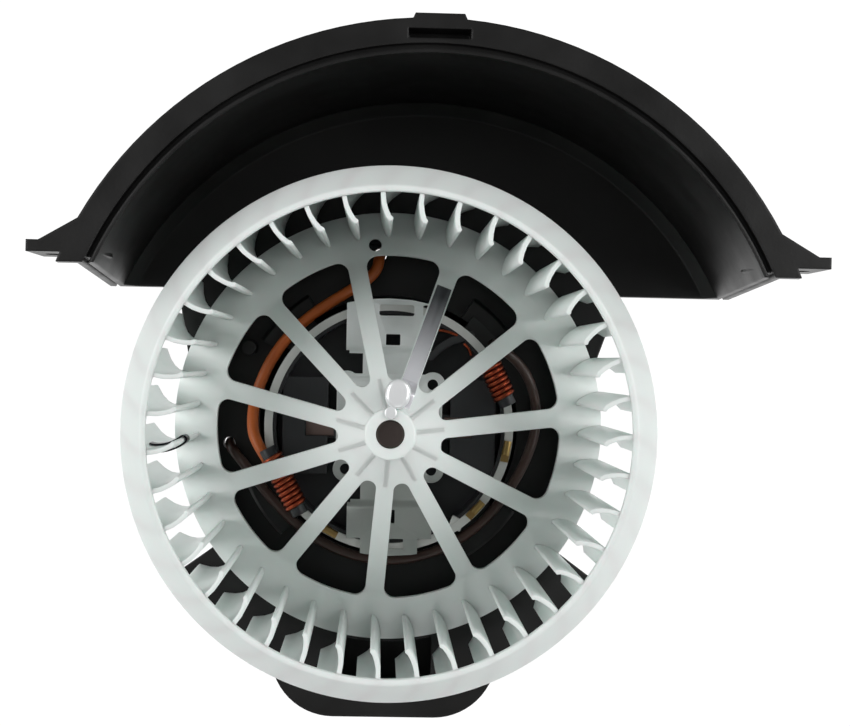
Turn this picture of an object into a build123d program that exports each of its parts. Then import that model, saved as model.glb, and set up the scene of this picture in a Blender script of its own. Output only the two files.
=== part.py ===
from build123d import *

import math
import os

# Car cabin blower: a squirrel-cage fan on a brushed motor, in a carrier under one half of a scroll housing.
# Millimetres. The origin is on the shaft axis at the carrier's flat rear face, +Z runs along the shaft
# to the air intake, and +Y points at the crown of the scroll.
# Angles named "turn" are in degrees, clockwise from +Y as seen from the intake.

# Fan wheel
FAN_LIP_Z = 118.0
FAN_LIP_R = 67.0
FAN_LIP_FLAT = 1.6
FAN_RING_R = 75.0
FAN_RING_DROP = 7.4
FAN_SKIRT_DEPTH = 3.6
FAN_SKIRT_WALL = 1.4
FAN_RING_WALL = 2.4
FAN_DISC_EDGE_Z = 56.0
FAN_DISC_RISE = 8.0
FAN_DISC_WALL = 2.5
FAN_WINDOW_R = 52.0
FAN_WINDOW_INNER_R = 15.0
FAN_WINDOW_CORNER = 3.4
FAN_WINDOW_END = 1.5
FAN_CONE_WALL = 3.1
SPOKES = 11
SPOKE_TURN = 20.3
SPOKE_WIDTH_OUT = 5.8
SPOKE_WIDTH_IN = 5.0
HUB_R = 7.3
HUB_TOP_Z = 112.0
HUB_BOTTOM_Z = 80.0
HUB_BEVEL = 0.8
RIB_REACH_R = 17.0
RIB_WALL = 1.2
RIB_RISE = 2.2
BLADES = 39
BLADE_TURN = -3.7
BLADE_WALL = 1.3
BLADE_REACH = 7.6
BLADE_SHORT = 0.7
BLADE_FRONT_DROP = 0.8
MARK_HOLE_R = 2.0
MARK_HOLE_AT_R = 56.6
MARK_HOLE_TURN = -5.5

# Shaft and its bearings
SHAFT_R = 4.0
SHAFT_END_Z = 111.4
SHAFT_REAR_Z = 5.0
SHAFT_BEVEL = 0.5
RUNNING_FIT = 0.03
SEAT_FIT = 0.05
BUSH_R = 7.5
BUSH_LENGTH = 6.0
BUSH_BEVEL = 1.0
RETAINER_HOLE_R = 6.9
RETAINER_R = 12.0
RETAINER_WALL = 0.6
WASHER_R = 6.4
WASHER_WALL = 0.6
WASHER_GAP = 0.3

# Motor shell and magnets
CAN_R = 38.5
CAN_WALL = 1.5
CAN_REAR_Z = 9.0
CAN_FRONT_Z = 64.0
CAN_LIP_R = 36.0
CAN_LIP_WALL = 1.0
CAN_SLOTS = 6
CAN_SLOT_WIDTH = 5.0
CAN_SLOT_INNER_R = 16.0
CAN_SLOT_OUTER_R = 29.0
BUSH_CUP_WALL = 1.4
MAGNET_WALL = 5.6
MAGNET_ARC = 128.0
MAGNET_LENGTH = 34.0
MAGNET_REAR_Z = 13.0

# Armature
AIR_GAP = 0.9
STACK_REAR_Z = 17.0
STACK_LENGTH = 27.0
STACK_SLOTS = 12
STACK_SLOT_WIDTH = 6.4
STACK_SLOT_MOUTH = 2.4
STACK_SLOT_ROOT_R = 15.0
STACK_SLOT_TOP_R = 27.2
WINDING_OVERHANG = 4.4
WINDING_R = 26.4
WINDING_INNER_R = 9.0
WINDING_FIT = 0.4
WINDING_BEVEL = 1.6
COMMUTATOR_R = 11.0
COMMUTATOR_BARS = 12
COMMUTATOR_GROOVE = 0.6
COMMUTATOR_REAR_Z = 49.2

# Brush gear
BRUSH_PLATE_Z = 50.5
BRUSH_PLATE_WALL = 2.4
BRUSH_PLATE_HOLE_R = 14.0
BRUSH_RIM_WALL = 2.0
BRUSH_WIDTH = 6.4
BRUSH_HEIGHT = 6.0
BRUSH_OUTER_X = 26.5
BRUSH_GAP = 0.3
BRUSH_SLIDE_FIT = 0.2
HOLDER_WALL = 0.6
HOLDER_INNER_X = 14.5
HOLDER_OUTER_X = 32.6
SPRING_R = 2.1
SPRING_WIRE_R = 0.35
SPRING_TURNS = 4
BLOCK_TOP_Z = 62.0
BLOCK_INNER_X = 19.0
BLOCK_OUTER_X = 33.0
BLOCK_HALF_Y = 15.0
BLOCK_WALL_GAP = 0.1

# Bearing plate
PLATE_WALL = 1.5
PLATE_STEP = 2.0
PLATE_CENTRE_X = -0.6
PLATE_HALF_X = 13.1
PLATE_INNER_Y = 24.7
PLATE_OUTER_Y = 39.7
PLATE_CROWN = 1.6
CENTRE_HALF = 15.4
CENTRE_LUG_R = 3.9
CENTRE_HOLE_R = 1.65
CENTRE_HOLE_AT = 13.3
ARM_HALF_X = 8.5
SLOT_LENGTH = 10.8
SLOT_WIDTH = 3.4
SLOT_Y = 36.1
SLOT_X = 1.7
SLOT_CORNER = 0.6
SQUARE_WIDTH = 4.4
SQUARE_HEIGHT = 3.4
SQUARE_X = 0.7
SQUARE_Y = 27.0
TAB_HALF_X = 8.8
TAB_LENGTH = 5.4
NOTCH_X = 2.9
NOTCH_Y = 36.0
NOTCH_WIDTH = 4.3
NOTCH_HEIGHT = 3.1
SLIT_X = 1.7
SLIT_Y = 27.6
SLIT_WIDTH = 1.2
SLIT_HEIGHT = 4.2

# Chokes
CHOKE_AT_R = 36.0
CHOKE_TURNS_AT = (64.5, 246.5)
CHOKE_R = 3.65
CHOKE_WIRE_R = 0.9
CHOKE_LENGTH = 13.2
CHOKE_CORE_R = 2.6
CHOKE_CORE_LENGTH = 18.5
CHOKE_SEAT_GAP = 0.15

# Crimps
CRIMPS_AT = (99.0, 131.0, 208.0)
CRIMP_AT_R = 37.0
CRIMP_R = 1.2
CRIMP_WALL = 0.5
CRIMP_LENGTH = 4.4

# Motor carrier
CUP_R = 41.0
CUP_WALL = 3.0
CUP_FLOOR = 3.0
CUP_RECESS_R = 14.0
CUP_RECESS_DEPTH = 1.0
FLOOR_TOP_Z = 49.5
FLOOR_WALL = 3.0
FLANGE_LAP = 6.3
FLANGE_WALL = 3.0
SPIGOT_R = 57.7
SPIGOT_FIT = 0.15
REAR_RIBS_AT = (10.0, 32.0, 56.0, 84.0, 106.0, 130.0, 230.0, 250.0)
REAR_RIB_WALL = 2.0
REAR_RIB_LOW_Z = 16.0
REAR_RIB_SHORT = 6.0
REAR_RIB_LAP = 1.0
TOWER_TOP_Z = 54.3
TOWER_R = 48.5
TOWERS_AT = (45.0, 135.5, 235.5, 315.0)
TOWER_ARC = 24.0
TOWER_BEVEL = 1.0
PEG_AT_R = 50.5
PEG_TURN = 298.0
PEG_R = 2.4
PEG_TOP_Z = 55.0

# Rubber isolators
ISOLATOR_ARC = 17.0
ISOLATOR_BOTTOM_Z = 36.0
ISOLATOR_LIP = 2.2
ISOLATOR_LIP_R = 43.6
REAR_RING_INNER_R = 30.5
REAR_RING_OUTER_R = 36.0

# Cooling duct under the base plate
LOBE_HALF_X = 36.0
LOBE_BOTTOM_Y = -93.2
LOBE_CORNER = 20.0
DUCT_WALL = 2.4
DUCT_FIT = 0.1
DUCT_FLOOR_Z = 22.0
DUCT_THROAT_HALF_X = 15.0
DUCT_THROAT_TOP_Z = 40.0
INLET_HALF_X = 15.0
INLET_INNER_R = 69.0
INLET_OUTER_Y = -81.0

# Scroll housing
RIM_Z = 124.0
RIM_X = 10.1
RIM_Y = 4.6
RIM_INNER_R = 99.5
RIM_LIP = 1.1
RIM_GROOVE = 1.5
RIM_GROOVE_DEPTH = 2.2
RIM_FLANGE_WIDTH = 9.4
RIM_FLANGE_WALL = 3.6
SCROLL_WALL = 2.8
FOOT_X = 9.65
FOOT_Y = -2.1
FOOT_R = 104.3
FOOT_COVE = 3.5
SPLIT_Y = 42.4
SPLIT_RIM_Y = 45.3
SPLIT_WALL = 3.0
SPLIT_LIP = 1.6
SPLIT_GROOVE = 1.2
SPLIT_GROOVE_DEPTH = 1.5
BASE_R = 64.5
BASE_SHOULDER_LEFT_X = -68.0
BASE_SHOULDER_RIGHT_X = 74.0
BASE_WAIST_LEFT_X = -62.5
BASE_WAIST_RIGHT_X = 62.5
BASE_WAIST_Y = 12.0
SECTOR_R = 82.0
SECTOR_HALF_ARC = 54.0
EAR_LENGTH = 9.1
EAR_ROOT_LAP = 10.2
EAR_Y = 47.9
EAR_WALL = 3.2
EAR_DEPTH = 23.0
EAR_GUSSET_RISE = 9.3
EAR_GUSSET_FOOT = 5.8
EAR_GUSSET_LAP = 9.7
EAR_GUSSET_WALL = 2.4
EAR_HOLE_R = 2.6
EAR_HOLE_OUT = 3.63
LATCH_X = 11.1
LATCH_HALF_X = 6.7
LATCH_RAMP = 1.9
LATCH_TOP_Y = 114.7
LATCH_SLOT_HALF_X = 8.5
LATCH_SLOT_Y = 107.9
LATCH_SLOT_WIDTH = 2.7
LATCH_DEPTH = 9.0
LATCH_FLOOR = 1.6

# Screws through the carrier flange into the base plate
SCREWS_AT = (20.0, 70.0, 120.0, 240.0, 288.0, 340.0)
SCREW_R = 1.5
SCREW_HEAD_R = 2.9
SCREW_HEAD_HEIGHT = 2.2
SCREW_TIP = 5.6
SCREW_HOLE_FIT = 0.2

# Plug socket under the flange
SOCKET_TURN = 312.0
SOCKET_SEAT_GAP = 0.1
SOCKET_DEPTH = 15.0
SOCKET_HALF_WIDTH = 13.0
SOCKET_WALL = 1.8
SOCKET_REAR_Z = 4.0
SOCKET_TOP_Z = 21.0
SOCKET_DECK = 3.0
PIN_WIDTH = 4.8
PIN_WALL = 0.8
PIN_REAR_Z = 7.0
PIN_OFFSET = 5.6
PIN_FIT = 0.05

# Leads
SUPPLY_R = 1.75
RETURN_R = 1.55
LEAD_HOLE_FIT = 0.4
LEAD_HIGH_Z = 58.4
LEAD_LOW_Z = 35.4

# Spoke clip and balance clip
CLIP_WALL = 0.5
CLIP_WIDTH = 4.6
CLIP_OUTER_R = 46.0
CLIP_SEAT_GAP = 0.05
CLIP_LOOP_R = 11.5
BALANCE_BLADE = 29
BALANCE_WALL = 0.5
BALANCE_LEG = 10.5
BALANCE_DEPTH = 6.0
BALANCE_TOP_Z = 97.0
BALANCE_GAP = 0.15
BALANCE_STEPS = 6


def polar(radius, turn):
    """Plan point at a radius and a clockwise turn from +Y."""
    angle = math.radians(turn)
    return (radius * math.sin(angle), radius * math.cos(angle))


def turned(points, arc=360.0, centre_turn=90.0):
    """Solid of revolution from (radius, height) points, centred on a turn where it isn't a full circle."""
    outline = Polyline([(radius, 0, height) for radius, height in points], close=True)
    solid = revolve(make_face(outline), axis=Axis.Z, revolution_arc=arc)
    return Rot(0, 0, 90.0 - centre_turn - arc / 2) * solid


def ring(outer, inner, bottom, top):
    """Plain ring about the shaft axis."""
    return Pos(0, 0, bottom) * extrude(Circle(outer) - Circle(inner), amount=top - bottom)


def disc(radius, bottom, top):
    """Plain disc about the shaft axis."""
    return Pos(0, 0, bottom) * extrude(Circle(radius), amount=top - bottom)


def block(low, high):
    """Box between two corners."""
    size = [high[i] - low[i] for i in range(3)]
    centre = [(high[i] + low[i]) / 2 for i in range(3)]
    return Pos(*centre) * Box(*size)


def slab(points, bottom, top):
    """Prism over a plan outline."""
    outline = Polyline([(x, y, bottom) for x, y in points], close=True)
    return extrude(make_face(outline), amount=top - bottom, dir=(0, 0, 1))


def upright(points, thickness):
    """Radial plate in the +Y direction from (radius, height) points, centred on the plane X = 0."""
    outline = Polyline([(-thickness / 2, radius, height) for radius, height in points], close=True)
    return extrude(make_face(outline), amount=thickness, dir=(1, 0, 0))


def spun(shape, turn):
    """The shape turned clockwise about the shaft axis."""
    return Rot(0, 0, -turn) * shape


def group(shapes):
    """Separate solids kept together in one node."""
    solids = []
    for shape in shapes:
        solids.extend(shape.solids())
    return Compound(children=solids)


def cone_top(radius):
    """Height of the fan's spoke cone above a radius."""
    return FAN_DISC_EDGE_Z + FAN_DISC_RISE + FAN_WINDOW_R - radius


def disc_top(radius):
    """Height of the fan's outer disc above a radius."""
    return FAN_DISC_EDGE_Z + FAN_DISC_RISE * (FAN_LIP_R - radius) / (FAN_LIP_R - FAN_WINDOW_R)


def fan_ring():
    """Sloped intake ring with its flat lip and outer skirt."""
    lip_under = FAN_LIP_Z - FAN_RING_WALL
    ring_edge = FAN_LIP_Z - FAN_RING_DROP
    skirt_bottom = ring_edge - FAN_SKIRT_DEPTH
    return turned([
        (FAN_LIP_R, lip_under),
        (FAN_LIP_R, FAN_LIP_Z),
        (FAN_LIP_R + FAN_LIP_FLAT, FAN_LIP_Z),
        (FAN_RING_R, ring_edge),
        (FAN_RING_R, skirt_bottom),
        (FAN_RING_R - FAN_SKIRT_WALL, skirt_bottom),
        (FAN_RING_R - FAN_SKIRT_WALL, ring_edge - 1.2),
        (FAN_LIP_R + FAN_LIP_FLAT - 0.2, lip_under),
    ])


def fan_disc():
    """Back disc, spoke cone and hub boss in one turned form."""
    lower_disc = FAN_DISC_EDGE_Z - FAN_DISC_WALL
    slope = FAN_DISC_RISE / (FAN_LIP_R - FAN_WINDOW_R)
    lower_cone = cone_top(0) - FAN_CONE_WALL
    knee_r = (lower_cone - lower_disc - slope * FAN_LIP_R) / (1 - slope)
    return turned([
        (FAN_LIP_R, lower_disc),
        (FAN_LIP_R, FAN_DISC_EDGE_Z),
        (FAN_WINDOW_R, FAN_DISC_EDGE_Z + FAN_DISC_RISE),
        (HUB_R, cone_top(HUB_R)),
        (HUB_R, HUB_TOP_Z - HUB_BEVEL),
        (HUB_R - HUB_BEVEL, HUB_TOP_Z),
        (SHAFT_R + SEAT_FIT, HUB_TOP_Z),
        (SHAFT_R + SEAT_FIT, HUB_BOTTOM_Z),
        (HUB_R, HUB_BOTTOM_Z),
        (HUB_R, lower_cone - HUB_R),
        (knee_r, lower_cone - knee_r),
    ])


def fan_window():
    """Cutter for one window, between the spokes at turn 0 and one pitch on."""
    pitch = 360.0 / SPOKES
    wedge_r = 2 * FAN_WINDOW_R
    sides = []
    for turn, side in ((0.0, 1.0), (pitch, -1.0)):
        angle = math.radians(turn)
        along = Vector(math.sin(angle), math.cos(angle))
        across = Vector(math.cos(angle), -math.sin(angle)) * side
        sides.append(along * FAN_WINDOW_INNER_R * 0.5 + across * (SPOKE_WIDTH_IN / 2))
        sides.append(along * wedge_r + across * (SPOKE_WIDTH_OUT / 2 + 0.6))
    wedge = make_face(Polyline([sides[0], sides[1], sides[3], sides[2]], close=True))
    window = (Circle(FAN_WINDOW_R) - Circle(FAN_WINDOW_INNER_R)) & wedge
    corners = window.vertices().sort_by(SortBy.DISTANCE)
    window = fillet(corners[-2:], FAN_WINDOW_CORNER)
    corners = window.vertices().sort_by(SortBy.DISTANCE)
    window = fillet(corners[:2], FAN_WINDOW_END)
    return Pos(0, 0, FAN_DISC_EDGE_Z) * extrude(window, amount=HUB_TOP_Z - FAN_DISC_EDGE_Z)


BLADE_INNER_R = FAN_LIP_R - BLADE_REACH
BLADE_OUTER_R = FAN_RING_R - BLADE_SHORT
# Share of the blade's width from its outer edge, and the clockwise turn there
BLADE_SWEEP = [(0.0, 5.2), (0.15, 3.0), (0.32, 1.4), (0.55, 0.85), (0.8, 1.35), (1.0, 2.8)]


def blade_curve():
    """Middle line of the blade at turn 0, from its outer to its inner edge."""
    width = BLADE_OUTER_R - BLADE_INNER_R
    return Spline(*[polar(BLADE_OUTER_R - share * width, turn) for share, turn in BLADE_SWEEP])


def fan_blade():
    """One blade at turn 0: hooked at its inner edge, swept at its outer one, from the ring to the disc's underside."""
    section = trace(blade_curve(), BLADE_WALL)
    bottom = FAN_DISC_EDGE_Z - FAN_DISC_WALL
    blank = Pos(0, 0, bottom) * extrude(section, amount=FAN_LIP_Z - bottom)
    ring_slope = FAN_RING_DROP / (FAN_RING_R - FAN_LIP_R - FAN_LIP_FLAT)
    ring_middle = FAN_LIP_Z - FAN_RING_WALL / 2
    outer_top = ring_middle - ring_slope * (BLADE_OUTER_R + BLADE_WALL - FAN_LIP_R - FAN_LIP_FLAT)
    disc_middle = FAN_DISC_EDGE_Z - FAN_DISC_WALL / 2
    front = FAN_LIP_Z - BLADE_FRONT_DROP
    inside_r = BLADE_INNER_R - BLADE_WALL
    envelope = turned([
        (inside_r, disc_top(inside_r) - FAN_DISC_WALL / 2),
        (FAN_LIP_R, disc_middle),
        (FAN_LIP_R + BLADE_WALL / 2, bottom),
        (BLADE_OUTER_R + BLADE_WALL, bottom),
        (BLADE_OUTER_R + BLADE_WALL, outer_top),
        (FAN_LIP_R + FAN_LIP_FLAT, ring_middle),
        (FAN_LIP_R + FAN_LIP_FLAT / 2, front),
        (inside_r, front),
    ], arc=30.0, centre_turn=0.0)
    return blank & envelope


def hub_rib():
    """Thin gusset from the hub boss down to a spoke, at turn 0."""
    return upright([
        (HUB_R - 0.4, cone_top(HUB_R) - 1),
        (HUB_R - 0.4, cone_top(HUB_R) + RIB_RISE),
        (RIB_REACH_R, cone_top(RIB_REACH_R) - 0.1),
        (RIB_REACH_R, cone_top(RIB_REACH_R) - 1),
    ], RIB_WALL)


def fan_wheel():
    """Squirrel-cage wheel: ring, blades, disc, spoke cone and hub in one moulding."""
    spoke_pitch = 360.0 / SPOKES
    body = fan_disc()
    for i in range(SPOKES):
        body = body - spun(fan_window(), SPOKE_TURN + i * spoke_pitch)
    mark_x, mark_y = polar(MARK_HOLE_AT_R, MARK_HOLE_TURN)
    body = body - Pos(mark_x, mark_y, FAN_DISC_EDGE_Z) * Cylinder(MARK_HOLE_R, 4 * FAN_DISC_RISE)
    ribs = [spun(hub_rib(), SPOKE_TURN + i * spoke_pitch) for i in range(SPOKES)]
    blade = fan_blade()
    blades = [spun(blade, BLADE_TURN + i * 360.0 / BLADES) for i in range(BLADES)]
    return body.fuse(fan_ring(), *ribs, *blades)


def shaft():
    """Motor shaft with bevelled ends."""
    return turned([
        (0, SHAFT_REAR_Z),
        (SHAFT_R - SHAFT_BEVEL, SHAFT_REAR_Z),
        (SHAFT_R, SHAFT_REAR_Z + SHAFT_BEVEL),
        (SHAFT_R, SHAFT_END_Z - SHAFT_BEVEL),
        (SHAFT_R - SHAFT_BEVEL, SHAFT_END_Z),
        (0, SHAFT_END_Z),
    ])


def bush(bottom):
    """Sintered plain bearing with bevelled rims."""
    top = bottom + BUSH_LENGTH
    bore = SHAFT_R + RUNNING_FIT
    return turned([
        (bore, bottom),
        (BUSH_R - BUSH_BEVEL, bottom),
        (BUSH_R, bottom + BUSH_BEVEL),
        (BUSH_R, top - BUSH_BEVEL),
        (BUSH_R - BUSH_BEVEL, top),
        (bore, top),
    ])


RIM_FLANGE_R = RIM_INNER_R + RIM_FLANGE_WIDTH
EAR_ROOT_X = math.sqrt(RIM_FLANGE_R ** 2 - (EAR_Y - RIM_Y) ** 2)
FLANGE_R = SPIGOT_R + FLANGE_LAP
SCREW_AT_R = SPIGOT_R + FLANGE_LAP / 2
SOCKET_INNER_R = CUP_R + CUP_WALL + SOCKET_SEAT_GAP
REAR_BUSH_Z = CAN_REAR_Z + CAN_WALL - BUSH_LENGTH
CENTRE_PLATE_Z = CAN_FRONT_Z - PLATE_STEP
FRONT_BUSH_Z = CENTRE_PLATE_Z + 0.4
MAGNET_OUTER_R = CAN_R - CAN_WALL - SEAT_FIT
STACK_R = MAGNET_OUTER_R - MAGNET_WALL - AIR_GAP
BASE_UNDER_Z = FLOOR_TOP_Z - FLOOR_WALL


def motor_can():
    """Deep-drawn steel shell with a rear bearing cup, cooling slots and a lip rolled over the brush plate."""
    cup_r = BUSH_R + SEAT_FIT
    cup_rear = REAR_BUSH_Z - SEAT_FIT
    can = turned([
        (0, cup_rear - CAN_WALL),
        (cup_r + BUSH_CUP_WALL, cup_rear - CAN_WALL),
        (cup_r + BUSH_CUP_WALL, CAN_REAR_Z),
        (CAN_R, CAN_REAR_Z),
        (CAN_R, CAN_FRONT_Z),
        (CAN_LIP_R, CAN_FRONT_Z),
        (CAN_LIP_R, CAN_FRONT_Z - CAN_LIP_WALL),
        (CAN_R - CAN_WALL, CAN_FRONT_Z - CAN_LIP_WALL),
        (CAN_R - CAN_WALL, CAN_REAR_Z + CAN_WALL),
        (cup_r, CAN_REAR_Z + CAN_WALL),
        (cup_r, cup_rear),
        (0, cup_rear),
    ])
    middle_r = (CAN_SLOT_INNER_R + CAN_SLOT_OUTER_R) / 2
    slot = SlotOverall(CAN_SLOT_OUTER_R - CAN_SLOT_INNER_R, CAN_SLOT_WIDTH, rotation=90)
    cutter = Pos(0, middle_r, CAN_REAR_Z - 1) * extrude(slot, amount=CAN_WALL + 2)
    for i in range(CAN_SLOTS):
        can = can - spun(cutter, i * 360.0 / CAN_SLOTS)
    return can


def magnets():
    """Pair of arc magnets bonded inside the can."""
    inner = MAGNET_OUTER_R - MAGNET_WALL
    outline = [
        (inner, MAGNET_REAR_Z),
        (MAGNET_OUTER_R, MAGNET_REAR_Z),
        (MAGNET_OUTER_R, MAGNET_REAR_Z + MAGNET_LENGTH),
        (inner, MAGNET_REAR_Z + MAGNET_LENGTH),
    ]
    return group([turned(outline, MAGNET_ARC, turn) for turn in (0.0, 180.0)])


def retainer(bottom):
    """Spring ring that holds a bush in its cup."""
    return ring(RETAINER_R, RETAINER_HOLE_R, bottom, bottom + RETAINER_WALL)


def thrust_washers():
    """Washers on the shaft just inside each bush."""
    rear = REAR_BUSH_Z + BUSH_LENGTH + WASHER_GAP
    front = FRONT_BUSH_Z - WASHER_GAP - WASHER_WALL
    bore = SHAFT_R + SEAT_FIT
    return group([ring(WASHER_R, bore, z, z + WASHER_WALL) for z in (rear, front)])


def stack_slot(extra):
    """Plan face of one armature slot at turn 0, larger all round by extra."""
    width = STACK_SLOT_WIDTH / 2 + extra
    root = STACK_SLOT_ROOT_R - extra
    top = STACK_SLOT_TOP_R + extra
    narrow = width * 0.45
    return make_face(Polyline([(-narrow, root), (narrow, root), (width, top), (-width, top)], close=True))


def armature_core():
    """Slotted lamination stack on the shaft."""
    core = ring(STACK_R, SHAFT_R + SEAT_FIT, STACK_REAR_Z, STACK_REAR_Z + STACK_LENGTH)
    mouth_half = STACK_SLOT_MOUTH / 2
    mouth = block((-mouth_half, STACK_SLOT_TOP_R - 1, STACK_REAR_Z - 1),
                  (mouth_half, STACK_R + 1, STACK_REAR_Z + STACK_LENGTH + 1))
    slot = Pos(0, 0, STACK_REAR_Z - 1) * extrude(stack_slot(0), amount=STACK_LENGTH + 2)
    for i in range(STACK_SLOTS):
        core = core - spun(slot + mouth, i * 360.0 / STACK_SLOTS)
    return core


def armature_winding():
    """Copper coils: a bar in each slot and a rounded overhang at both ends of the stack."""
    rear = STACK_REAR_Z - WINDING_OVERHANG
    front = STACK_REAR_Z + STACK_LENGTH + WINDING_OVERHANG
    bar = Pos(0, 0, STACK_REAR_Z - 1) * extrude(stack_slot(-WINDING_FIT), amount=STACK_LENGTH + 2)
    bars = [spun(bar, i * 360.0 / STACK_SLOTS) for i in range(STACK_SLOTS)]
    front_low = STACK_REAR_Z + STACK_LENGTH + SEAT_FIT
    rear_high = STACK_REAR_Z - SEAT_FIT
    heads = []
    for inside, outside, bevel in ((front_low, front, -WINDING_BEVEL), (rear_high, rear, WINDING_BEVEL)):
        heads.append(turned([
            (WINDING_INNER_R, inside),
            (WINDING_R, inside),
            (WINDING_R, outside + bevel),
            (WINDING_R - WINDING_BEVEL, outside),
            (WINDING_INNER_R + WINDING_BEVEL, outside),
            (WINDING_INNER_R, outside + bevel),
        ]))
    return heads[0].fuse(heads[1], *bars)


def commutator():
    """Commutator with grooves between its bars."""
    top = CENTRE_PLATE_Z - RETAINER_WALL - WASHER_GAP
    body = ring(COMMUTATOR_R, SHAFT_R + SEAT_FIT, COMMUTATOR_REAR_Z, top)
    half = COMMUTATOR_GROOVE / 2
    groove = block((-half, COMMUTATOR_R - 1, COMMUTATOR_REAR_Z - 1), (half, COMMUTATOR_R + 1, top + 1))
    for i in range(COMMUTATOR_BARS):
        body = body - spun(groove, (i + 0.5) * 360.0 / COMMUTATOR_BARS)
    return body


BRUSH_FLOOR_Z = BRUSH_PLATE_Z + BRUSH_PLATE_WALL
BRUSH_Z = BRUSH_FLOOR_Z + HOLDER_WALL + BRUSH_SLIDE_FIT
BRUSH_INNER_X = COMMUTATOR_R + BRUSH_GAP


def holder_outer(inflate=0.0):
    """Box round the right-hand brush holder."""
    half = BRUSH_WIDTH / 2 + BRUSH_SLIDE_FIT + HOLDER_WALL + inflate
    top = BRUSH_Z + BRUSH_HEIGHT + BRUSH_SLIDE_FIT + HOLDER_WALL + inflate
    return block((HOLDER_INNER_X - inflate, -half, BRUSH_FLOOR_Z), (HOLDER_OUTER_X + inflate, half, top))


def brush_holder():
    """Folded brass guide for the right-hand brush, closed at its outer end."""
    half = BRUSH_WIDTH / 2 + BRUSH_SLIDE_FIT
    bore = block((HOLDER_INNER_X - 1, -half, BRUSH_Z - BRUSH_SLIDE_FIT),
                 (HOLDER_OUTER_X - HOLDER_WALL, half, BRUSH_Z + BRUSH_HEIGHT + BRUSH_SLIDE_FIT))
    return holder_outer() - bore


def brush():
    """Right-hand carbon brush with its inner end hollowed to the commutator."""
    half = BRUSH_WIDTH / 2
    blank = block((COMMUTATOR_R - 1, -half, BRUSH_Z), (BRUSH_OUTER_X, half, BRUSH_Z + BRUSH_HEIGHT))
    return blank - disc(BRUSH_INNER_X, BRUSH_Z - 1, BRUSH_Z + BRUSH_HEIGHT + 1)


def brush_spring():
    """Coil spring behind the right-hand brush."""
    start = BRUSH_OUTER_X + SPRING_WIRE_R + SEAT_FIT
    end = HOLDER_OUTER_X - HOLDER_WALL - SPRING_WIRE_R - SEAT_FIT
    pitch = (end - start) / SPRING_TURNS
    path = Helix(pitch=pitch, height=end - start, radius=SPRING_R)
    section = Plane(origin=path @ 0, z_dir=path % 0) * Circle(SPRING_WIRE_R)
    coil = sweep(section, path=path, is_frenet=True)
    return Pos(start, 0, BRUSH_Z + BRUSH_HEIGHT / 2) * Rot(0, 90, 0) * coil


def brush_plate():
    """Black moulding that carries the brush holders, with a rim under the can's lip and two raised blocks."""
    rim_r = CAN_R - CAN_WALL - SEAT_FIT
    rim_top = CAN_FRONT_Z - CAN_LIP_WALL
    plate = turned([
        (BRUSH_PLATE_HOLE_R, BRUSH_PLATE_Z),
        (rim_r, BRUSH_PLATE_Z),
        (rim_r, rim_top),
        (rim_r - BRUSH_RIM_WALL, rim_top),
        (rim_r - BRUSH_RIM_WALL, BRUSH_FLOOR_Z),
        (BRUSH_PLATE_HOLE_R, BRUSH_FLOOR_Z),
    ])
    low = BRUSH_FLOOR_Z - BRUSH_PLATE_WALL / 2
    lump = block((BLOCK_INNER_X, -BLOCK_HALF_Y, low), (BLOCK_OUTER_X, BLOCK_HALF_Y, BLOCK_TOP_Z))
    lump = lump & disc(rim_r - BRUSH_RIM_WALL / 2, low, BLOCK_TOP_Z)
    window = block((BLOCK_INNER_X - 1, -BRUSH_WIDTH / 2, BRUSH_Z + BRUSH_HEIGHT),
                   (BLOCK_INNER_X + 7, BRUSH_WIDTH / 2, BLOCK_TOP_Z + 1))
    lump = lump - holder_outer(BLOCK_WALL_GAP) - window
    return plate + lump + Rot(0, 0, 180) * lump


def plate_wing(upper):
    """Pressed wing over the can's rim: slotted on the upper side, and a narrow notched tab on the lower one."""
    left = PLATE_CENTRE_X - PLATE_HALF_X
    right = PLATE_CENTRE_X + PLATE_HALF_X
    corner_y = PLATE_OUTER_Y - PLATE_CROWN
    edge = [
        Line((left, PLATE_INNER_Y), (right, PLATE_INNER_Y)),
        Line((right, PLATE_INNER_Y), (right, corner_y)),
        ThreePointArc((right, corner_y), (PLATE_CENTRE_X, PLATE_OUTER_Y), (left, corner_y)),
        Line((left, corner_y), (left, PLATE_INNER_Y)),
    ]
    face = make_face(edge)
    if upper:
        face = face - Pos(SLOT_X, SLOT_Y) * RectangleRounded(SLOT_LENGTH, SLOT_WIDTH, SLOT_CORNER)
        face = face - Pos(right, SLOT_Y) * RectangleRounded(SLOT_WIDTH * 1.6, SLOT_WIDTH, SLOT_CORNER)
        face = face - Pos(SQUARE_X, SQUARE_Y) * Rectangle(SQUARE_WIDTH, SQUARE_HEIGHT)
    else:
        side = PLATE_HALF_X - TAB_HALF_X
        for edge_x in (left, right):
            face = face - Pos(edge_x, PLATE_OUTER_Y) * Rectangle(2 * side, 2 * TAB_LENGTH)
        face = face - Pos(-NOTCH_X, NOTCH_Y) * Rectangle(NOTCH_WIDTH, NOTCH_HEIGHT)
        face = face - Pos(-SLIT_X, SLIT_Y) * Rectangle(SLIT_WIDTH, SLIT_HEIGHT)
    return Pos(0, 0, CAN_FRONT_Z) * extrude(face, amount=PLATE_WALL)


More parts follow.
